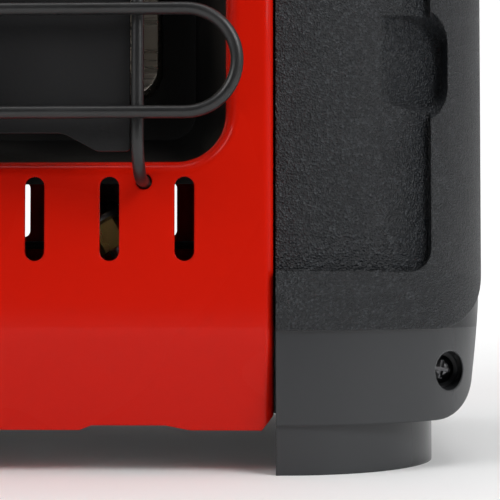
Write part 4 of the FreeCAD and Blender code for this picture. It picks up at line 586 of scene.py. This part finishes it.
# %% [markdown]
# ## Screws
# A pan-head screw is a flattened ball with its underside cut flat and a cross cut into its top.
# One head is made with Mesh Boolean and copied to each point, turned to face the way that the
# point says. The four in the side covers' wells stand for the CAD model's plain screws.

# %% Screws
WELL_FACING = math.radians(10.0)
WELL_HEAD = 2.6
# Sizes as shares of the head's radius, and the sunk share of the shank's length.
CROSS_WIDE, CROSS_THIN, CUT_WHOLE = 1.2, 0.24, 3.0
SHANK_SUNK = 0.48


def screw_tree():
    """A domed head with a cross recess on a plain shank, copied to each place."""
    tree, start, end = geometry_tree("pan_head_screws", [
        ("Places", "g", None), ("Head", "f", 0.0039), ("Tall", "f", 0.0026),
        ("Shank", "f", 0.0017), ("Length", "f", 0.01)])
    head, tall = start.outputs["Head"], start.outputs["Tall"]
    ball = node(tree, "GeometryNodeMeshUVSphere", {"Segments": 28, "Rings": 16, "Radius": head})
    flat = joined(tree, X=1.0, Y=1.0, Z=maths(tree, "DIVIDE", tall, head))
    dome = moved(tree, ball.outputs[0], Scale=flat)
    wide, thin, full = [maths(tree, "MULTIPLY", head, share)
                        for share in (CROSS_WIDE, CROSS_THIN, CUT_WHOLE)]

    def cutter(x, y, z, height):
        """A block to cut with, raised along the screw's axis."""
        block = node(tree, "GeometryNodeMeshCube", {"Size": joined(tree, X=x, Y=y, Z=z)})
        return moved(tree, block.outputs[0], Translation=joined(tree, Z=height))

    cut = node(tree, "GeometryNodeMeshBoolean", {"Mesh 1": dome},
               operation="DIFFERENCE", solver="EXACT")
    below = maths(tree, "MULTIPLY", full, -0.5)
    for tool in (cutter(full, full, full, below), cutter(wide, thin, tall, tall),
                 cutter(thin, wide, tall, tall)):
        tree.links.new(tool, cut.inputs["Mesh 2"])
    length = start.outputs["Length"]
    shank = node(tree, "GeometryNodeMeshCylinder", {
        "Vertices": 16, "Radius": start.outputs["Shank"], "Depth": length})
    sink = joined(tree, Z=maths(tree, "MULTIPLY", length, -SHANK_SUNK))
    whole = node(tree, "GeometryNodeJoinGeometry")
    tree.links.new(cut.outputs[0], whole.inputs[0])
    tree.links.new(moved(tree, shank.outputs[0], Translation=sink), whole.inputs[0])
    facing = node(tree, "GeometryNodeInputNamedAttribute", {"Name": "facing"},
                  data_type="FLOAT_VECTOR").outputs[0]
    turn = node(tree, "FunctionNodeAlignRotationToVector", {"Vector": facing}, axis="Z")
    copies = copied(tree, start.outputs["Places"], whole.outputs[0], Rotation=turn.outputs[0])
    return close_tree(tree, start, end, copies)


def well_places():
    """Seats of the four cover screws' heads and their directions, from the CAD node's mesh."""
    spots, ways = [], []
    points = [v.co / MM for v in nodes["cover_screws"].data.vertices]
    for side in (1, -1):
        for end in (1, -1):
            way = Vector((side * math.sin(WELL_FACING), end * math.cos(WELL_FACING), 0.0))
            group = [p for p in points if p.x * side > 0 and p.y * end > 0]
            top = max(p.dot(way) for p in group)
            middle = sum(group, Vector()) / len(group)
            spots.append(middle + way * (top - WELL_HEAD - middle.dot(way)))
            ways.append(way)
    return spots, ways


screws = screw_tree()
spots, ways = well_places()
cover_screws = grow(
    "cover_screws_cross", screws, "case", "screws", seed=places_mesh("well_places", spots, ways),
    Head=3.9 * MM, Tall=WELL_HEAD * MM, Shank=1.7 * MM, Length=11 * MM, Finish=finish["screws"],
)
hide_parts("cover_screws")
REAR_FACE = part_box("rear_cover")[1][1] / MM
BASE_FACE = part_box("base_pan")[0][2] / MM
rear_spots = [(x, REAR_FACE, z) for x in (-105, 105) for z in (24, 150, 258)]
base_spots = [(x, y, BASE_FACE) for x in (-101, 101) for y in (-52, 62)]
grow(
    "sheet_screws", screws, "case", "screws",
    seed=places_mesh("sheet_places", rear_spots + base_spots,
                     [(0, 1, 0)] * len(rear_spots) + [(0, 0, -1)] * len(base_spots)),
    Head=3.2 * MM, Tall=1.8 * MM, Shank=1.4 * MM, Length=5 * MM, Finish=finish["screws"],
)

# %% [markdown]
# ## Weld beads on the guard
# Each loop is spot welded to each upright, which leaves a small bead where the wires cross.

# %% Weld beads on the guard
GUARD_WIRE_RADIUS = 1.5


def bead_tree():
    """A flattened ball on each place."""
    tree, start, end = geometry_tree("weld_beads", [
        ("Places", "g", None), ("Size", "v", (1, 1, 1))])
    ball = node(tree, "GeometryNodeMeshUVSphere", {"Segments": 12, "Rings": 8, "Radius": 1.0})
    bead = moved(tree, ball.outputs[0], Scale=start.outputs["Size"])
    return close_tree(tree, start, end, copied(tree, start.outputs["Places"], bead))


def crossings():
    """Where a loop's straight wires cross the uprights, on the plane where they touch."""
    spots = []
    for loop in (1, 2, 3):
        low, high = (Vector(c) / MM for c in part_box(f"guard_loop_{loop}"))
        for upright in (1, 2, 3, 4):
            left, right = (Vector(c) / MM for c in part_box(f"guard_upright_{upright}"))
            x = (left.x + right.x) / 2
            spots += [(x, high.y, z)
                      for z in (low.z + GUARD_WIRE_RADIUS, high.z - GUARD_WIRE_RADIUS)]
    return spots


spots = crossings()
grow("guard_welds", bead_tree(), "case", "wire",
     seed=places_mesh("weld_places", spots, [(0, -1, 0)] * len(spots)),
     Size=(1.35 * MM, 0.8 * MM, 1.35 * MM), Finish=finish["wire"])

# %% [markdown]
# ## Ribs on the handle's grip
# The rubber grip has thin raised rings. They are one ring, copied along a line, and each copy is
# scaled to the grip's slight waist. Waist is the radius of the waist's long curve, in metres.

# %% Ribs on the handle's grip
RING_STEPS = 56
RING_SIDES = 8


def rib_tree():
    """Rings round the x axis, a little wider towards both ends of the row."""
    tree, start, end = geometry_tree("grip_ribs", [
        ("Count", "i", 9), ("Pitch", "f", 0.01), ("Radius", "f", 0.0082), ("Waist", "f", 0.3),
        ("Wire", "f", 0.0012)])
    radius = start.outputs["Radius"]
    circle = round_profile(tree, radius, RING_STEPS)
    ring = tube_mesh(
        tree, circle, maths(tree, "MULTIPLY", start.outputs["Wire"], 0.5), RING_SIDES)
    upright = moved(tree, ring, Rotation=(0.0, math.pi / 2, 0.0))
    pitch = start.outputs["Pitch"]
    reach = maths(tree, "MULTIPLY", maths(tree, "SUBTRACT", start.outputs["Count"], 1.0), pitch)
    row = node(tree, "GeometryNodeMeshLine", {
        "Count": start.outputs["Count"], "Offset": joined(tree, X=pitch),
        "Start Location": joined(tree, X=maths(tree, "MULTIPLY", reach, -0.5))}, mode="OFFSET")
    x = axes(tree, node(tree, "GeometryNodeInputPosition").outputs[0])[0]
    sag = maths(tree, "DIVIDE", maths(tree, "MULTIPLY", x, x),
                maths(tree, "MULTIPLY", start.outputs["Waist"], 2.0))
    scale = maths(tree, "ADD", maths(tree, "DIVIDE", sag, radius), 1.0)
    size = joined(tree, X=1.0, Y=scale, Z=scale)
    return close_tree(tree, start, end, copied(tree, row.outputs[0], upright, Scale=size))


grip_low, grip_high = (Vector(c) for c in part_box("handle_grip"))
grip_middle = (grip_low + grip_high) / 2
grow("grip_ribs", rib_tree(), "handle", "grip", place=Matrix.Translation(grip_middle),
     Count=17, Pitch=6 * MM, Radius=8.3 * MM, Waist=1.7, Wire=1.3 * MM, Finish=finish["grip"])

# %% [markdown]
# ## Thread in the cylinder's socket
# A fuel cylinder screws into the socket, 20 threads to the inch. The thread's ridge is a spiral
# curve made solid, and it sits half in the wall of the plain bore.

# %% Thread in the cylinder's socket
THREAD_PITCH = 25.4 / 20
THREAD_TURNS = 7.5
THREAD_START = 0.9 * MM
STEPS_PER_TURN = 56
RIDGE_SIDES = 4


def thread_tree():
    """A spiral ridge round the z axis."""
    tree, start, end = geometry_tree("thread_ridge", [
        ("Turns", "f", 8.0), ("Radius", "f", 0.012), ("Long", "f", 0.01), ("Ridge", "f", 0.0004)])
    spiral = node(tree, "GeometryNodeCurveSpiral", {
        "Resolution": STEPS_PER_TURN, "Rotations": start.outputs["Turns"],
        "Start Radius": start.outputs["Radius"], "End Radius": start.outputs["Radius"],
        "Height": start.outputs["Long"]})
    ridge = tube_mesh(tree, spiral.outputs[0], start.outputs["Ridge"], RIDGE_SIDES)
    return close_tree(tree, start, end, ridge)


socket_low, socket_high = (Vector(c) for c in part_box("inlet_socket"))
mouth = Vector(((socket_low.x + socket_high.x) / 2, (socket_low.y + socket_high.y) / 2,
                socket_low.z + THREAD_START))
grow("socket_thread", thread_tree(), "regulator", "brass", place=Matrix.Translation(mouth),
     Turns=THREAD_TURNS, Radius=12.05 * MM, Long=THREAD_TURNS * THREAD_PITCH * MM,
     Ridge=0.5 * MM, Finish=finish["brass"])

# %% [markdown]
# ## Marks on the knob
# The knob's skirt carries generic words, read at a white index on the dial plate: the knob turns
# and the index stays. Words are text made solid, then laid on the skirt's cone. Ticks stand on
# the skirt's rim, and the pointer's groove on top is filled with white.

# %% Marks on the knob
# Millimetres: radius from the knob's shaft, height above the knob's underside, which is
# KNOB_LIFT above the joint's own origin. The index's height is from that origin.
KNOB_LIFT = 5.0
WORDS = {"OFF": 0.0, "LO": -130.0, "HI": -225.0}
WORD = {"tall": 3.1, "thick": 0.06, "radius": 20.5, "height": 4.2, "gap": 0.02}
SKIRT_RUN, SKIRT_FALL = 3.0, 2.4
POINTER = {"wide": 1.7, "long": 9.0, "thick": 0.6, "radius": 11.4, "height": 18.75}
INDEX = {"wide": 1.2, "long": 2.0, "thick": 0.15, "radius": 23.4, "height": 1.55}
TICK = {"wide": 0.14, "deep": 0.5, "tall": 1.5, "radius": 22.0, "height": 1.3}
TICKS, TURN = 11, 225
LETTER_STEPS = 3
SAME_POINT = 1e-7
print_white = plain_finish(
    "white_print", (0.7, 0.7, 0.69), (0.8, 0.8, 0.79), rough=(0.4, 0.5),
    patch=90.0, grains=(1500.0, 0.1), edge=0.05)
knob_joint = next(joint for joint in frame["joints"] if joint["name"] == "knob_turn")


def knob_frame():
    """From the knob's own axes, z along its shaft and y up the slope, to the CAD frame."""
    up = Vector(knob_joint["axis"]).normalized()
    side = Vector((1.0, 0.0, 0.0))
    ahead = up.cross(side)
    turn = Matrix((side, ahead, up)).transposed().to_4x4()
    return Matrix.Translation(Vector(knob_joint["pos_m"])) @ turn


def flat_bar(name, width, length, thick, round_steps=8):
    """A thin bar with round ends, on the xy plane, with its length along y."""
    mesh = bpy.data.meshes.new(name)
    build = bmesh.new()
    radius = width / 2
    ring = []
    for end, start_angle in ((1, 0.0), (-1, math.pi)):
        for step in range(round_steps + 1):
            angle = start_angle + math.pi * step / round_steps
            ring.append((radius * math.cos(angle),
                         end * (length / 2 - radius) + radius * math.sin(angle)))
    low = [build.verts.new((x, y, 0.0)) for x, y in ring]
    high = [build.verts.new((x, y, thick)) for x, y in ring]
    build.faces.new(list(reversed(low)))
    build.faces.new(high)
    for i, vert in enumerate(low):
        after = (i + 1) % len(low)
        build.faces.new((vert, low[after], high[after], high[i]))
    build.to_mesh(mesh)
    build.free()
    return mesh


def word_mesh(name, text, tall):
    """A word as a thin solid, centred on the origin of the xy plane."""
    curve = bpy.data.curves.new(name, "FONT")
    curve.body = text
    curve.size = tall
    curve.extrude = WORD["thick"] * MM
    curve.resolution_u = LETTER_STEPS
    curve.align_x, curve.align_y = "CENTER", "CENTER"
    holder = bpy.data.objects.new(f"{name}_text", curve)
    bpy.context.scene.collection.objects.link(holder)
    ready = bpy.context.evaluated_depsgraph_get()
    mesh = bpy.data.meshes.new_from_object(holder.evaluated_get(ready), depsgraph=ready)
    bpy.data.objects.remove(holder)
    build = bmesh.new()
    build.from_mesh(mesh)
    bmesh.ops.remove_doubles(build, verts=build.verts, dist=SAME_POINT)
    bmesh.ops.recalc_face_normals(build, faces=build.faces)
    build.to_mesh(mesh)
    build.free()
    return mesh


def mark(name, mesh, place, body):
    """A white mark moved to its place inside its mesh."""
    mesh.transform(place)
    mesh.materials.clear()
    mesh.materials.append(print_white)
    obj = bpy.data.objects.new(name, mesh)
    bpy.context.scene.collection.objects.link(obj)
    return ride(obj, body)


def on_skirt(angle):
    """The place of a word on the skirt's cone, with its top outwards."""
    out = Vector((-math.sin(angle), math.cos(angle), 0.0))
    top = (out * SKIRT_RUN - Vector((0, 0, SKIRT_FALL))).normalized()
    face = (out * SKIRT_FALL + Vector((0, 0, SKIRT_RUN))).normalized()
    turn = Matrix((top.cross(face), top, face)).transposed().to_4x4()
    spot = out * WORD["radius"] + Vector((0, 0, KNOB_LIFT + WORD["height"])) + face * WORD["gap"]
    return Matrix.Translation(spot * MM) @ turn


def bar_mark(name, spec, lift, body):
    """A white bar that points away from the shaft, on the line up the slope."""
    mesh = flat_bar(name, spec["wide"] * MM, spec["long"] * MM, spec["thick"] * MM)
    spot = Vector((0.0, spec["radius"], lift + spec["height"])) * MM
    return mark(name, mesh, at_knob @ Matrix.Translation(spot), body)


at_knob = knob_frame()
for text, degrees in WORDS.items():
    name = f"knob_word_{text.lower()}"
    place = at_knob @ on_skirt(math.radians(degrees))
    mark(name, word_mesh(name, text, WORD["tall"] * MM), place, "knob")
bar_mark("knob_pointer", POINTER, KNOB_LIFT, "knob")
bar_mark("dial_index", INDEX, 0.0, "case")
print("words:", list(WORDS))


def tick_tree():
    """Small blocks on an arc round the z axis, each turned to face outwards."""
    tree, start, end = geometry_tree("skirt_ticks", [
        ("Count", "i", 9), ("First", "f", 0.0), ("Step", "f", 0.3), ("Radius", "f", 0.022),
        ("Height", "f", 0.006), ("Size", "v", (1, 1, 1))])
    place = node(tree, "GeometryNodeInputIndex").outputs[0]
    angle = maths(tree, "ADD", start.outputs["First"],
                  maths(tree, "MULTIPLY", place, start.outputs["Step"]))
    x, y = [maths(tree, "MULTIPLY", maths(tree, wave, angle), start.outputs["Radius"])
            for wave in ("COSINE", "SINE")]
    spot = joined(tree, X=x, Y=y, Z=start.outputs["Height"])
    row = node(tree, "GeometryNodeMeshLine", {"Count": start.outputs["Count"]}, mode="OFFSET")
    ring = node(tree, "GeometryNodeSetPosition", {"Geometry": row.outputs[0], "Position": spot})
    block = node(tree, "GeometryNodeMeshCube", {"Size": start.outputs["Size"]})
    copies = copied(
        tree, ring.outputs[0], block.outputs[0], Rotation=joined(tree, Z=angle))
    return close_tree(tree, start, end, copies)


grow("skirt_ticks", tick_tree(), "knob", "knob", place=at_knob, Count=TICKS,
     First=math.radians(90 - TURN), Step=math.radians(TURN / (TICKS - 1)),
     Radius=TICK["radius"] * MM, Height=(KNOB_LIFT + TICK["height"]) * MM,
     Size=(TICK["wide"] * MM, TICK["deep"] * MM, TICK["tall"] * MM), Finish=print_white)

# %% [markdown]
# ## Floor and light
# A white sweep and broad lamps, as in a catalogue picture. Nothing here belongs to the heater.
# The photograph's front is deep red with hardly a reflection, so the room is dim on the side
# where the camera stands and bright at the sides, above and behind, and the gloss mirrors that.
# Light Path gives the floor a little light of its own for the camera only: hardly any near the
# heater, where it would wash the shadow out, and more far away, where the sweep should be white.

# %% Floor and light
# The sweep's line in y and z and its half width, in metres.
SWEEP = [(-3.0, 0.0), (1.6, 0.0), (1.9, 0.06), (2.1, 0.3), (2.15, 3.0)]
SWEEP_HALF_WIDTH = 4.0
FLOOR_WHITE = (0.86, 0.86, 0.86)
FLOOR_ROUGHNESS, FLOOR_SPECULAR = 0.6, 0.2
FLOOR_LIFT, LIFT_REACH = (0.03, 0.5), (0.3, 1.5)
DIM_TO_BRIGHT = (-0.95, -0.1)
WHITE = (1.0, 1.0, 1.0, 1.0)
# Place and aim in metres, size in metres, power in watts.
LAMPS = {
    "left_lamp": ((-1.3, -1.1, 1.1), (0.0, 0.0, 0.12), (0.9, 0.9), 10.5),
    "right_lamp": ((1.25, -0.95, 0.75), (0.12, -0.05, 0.08), (0.7, 0.7), 4.5),
    "front_lamp": ((0.94, -0.8, 0.93), (0.14, -0.07, 0.045), (0.8, 0.42), 8.0),
    "top_lamp": ((0.0, 0.1, 2.0), (0.0, 0.0, 0.0), (1.6, 1.6), 16.0),
}


def add_floor():
    """A white floor that sweeps up into a backdrop."""
    mesh = bpy.data.meshes.new("floor")
    build = bmesh.new()
    sides = (-SWEEP_HALF_WIDTH, SWEEP_HALF_WIDTH)
    rows = [[build.verts.new((x, y, z)) for x in sides] for y, z in SWEEP]
    for low, high in zip(rows, rows[1:]):
        build.faces.new((low[0], low[1], high[1], high[0]))
    build.to_mesh(mesh)
    build.free()
    floor = bpy.data.objects.new("floor", mesh)
    white = material("white_floor", FLOOR_WHITE, FLOOR_ROUGHNESS, specular=FLOOR_SPECULAR)
    tree = white.node_tree
    shader = tree.nodes["Principled BSDF"]
    x, y, _ = axes(tree, object_place(tree))
    squares = [maths(tree, "MULTIPLY", part, part) for part in (x, y)]
    away = maths(tree, "SQRT", maths(tree, "ADD", *squares))
    lift = spread(tree, away, *FLOOR_LIFT, *LIFT_REACH)
    seen = node(tree, "ShaderNodeLightPath").outputs["Is Camera Ray"]
    shader.inputs["Emission Color"].default_value = WHITE
    feed(tree, shader.inputs["Emission Strength"], maths(tree, "MULTIPLY", seen, lift))
    mesh.materials.append(white)
    bpy.context.scene.collection.objects.link(floor)


def add_lamp(name, place, aim, size, power):
    """A broad rectangular lamp that faces its aim."""
    data = bpy.data.lights.new(name, "AREA")
    data.shape = "RECTANGLE"
    data.size, data.size_y = size
    data.energy = power
    lamp = bpy.data.objects.new(name, data)
    lamp.location = place
    lamp.rotation_euler = (Vector(aim) - Vector(place)).to_track_quat("-Z", "Y").to_euler()
    bpy.context.scene.collection.objects.link(lamp)


def set_world(bright, dim):
    """White for the camera. For all other rays the room dims towards the camera's side."""
    world = bpy.data.worlds.new("white_room")
    world.use_nodes = True
    tree = world.node_tree
    way = axes(tree, node(tree, "ShaderNodeTexCoord").outputs["Generated"])
    side = spread(tree, way[1], dim, bright, *DIM_TO_BRIGHT, "SMOOTHSTEP")
    seen = node(tree, "ShaderNodeLightPath").outputs["Is Camera Ray"]
    unseen = maths(tree, "MULTIPLY", side, maths(tree, "SUBTRACT", 1.0, seen))
    back = tree.nodes["Background"]
    back.inputs["Color"].default_value = WHITE
    feed(tree, back.inputs["Strength"], maths(tree, "ADD", unseen, seen))
    bpy.context.scene.world = world


add_floor()
set_world(bright=0.6, dim=0.03)
for name, spec in LAMPS.items():
    add_lamp(name, *spec)
bpy.context.scene.view_settings.view_transform = "Standard"
print("lamps:", list(LAMPS))
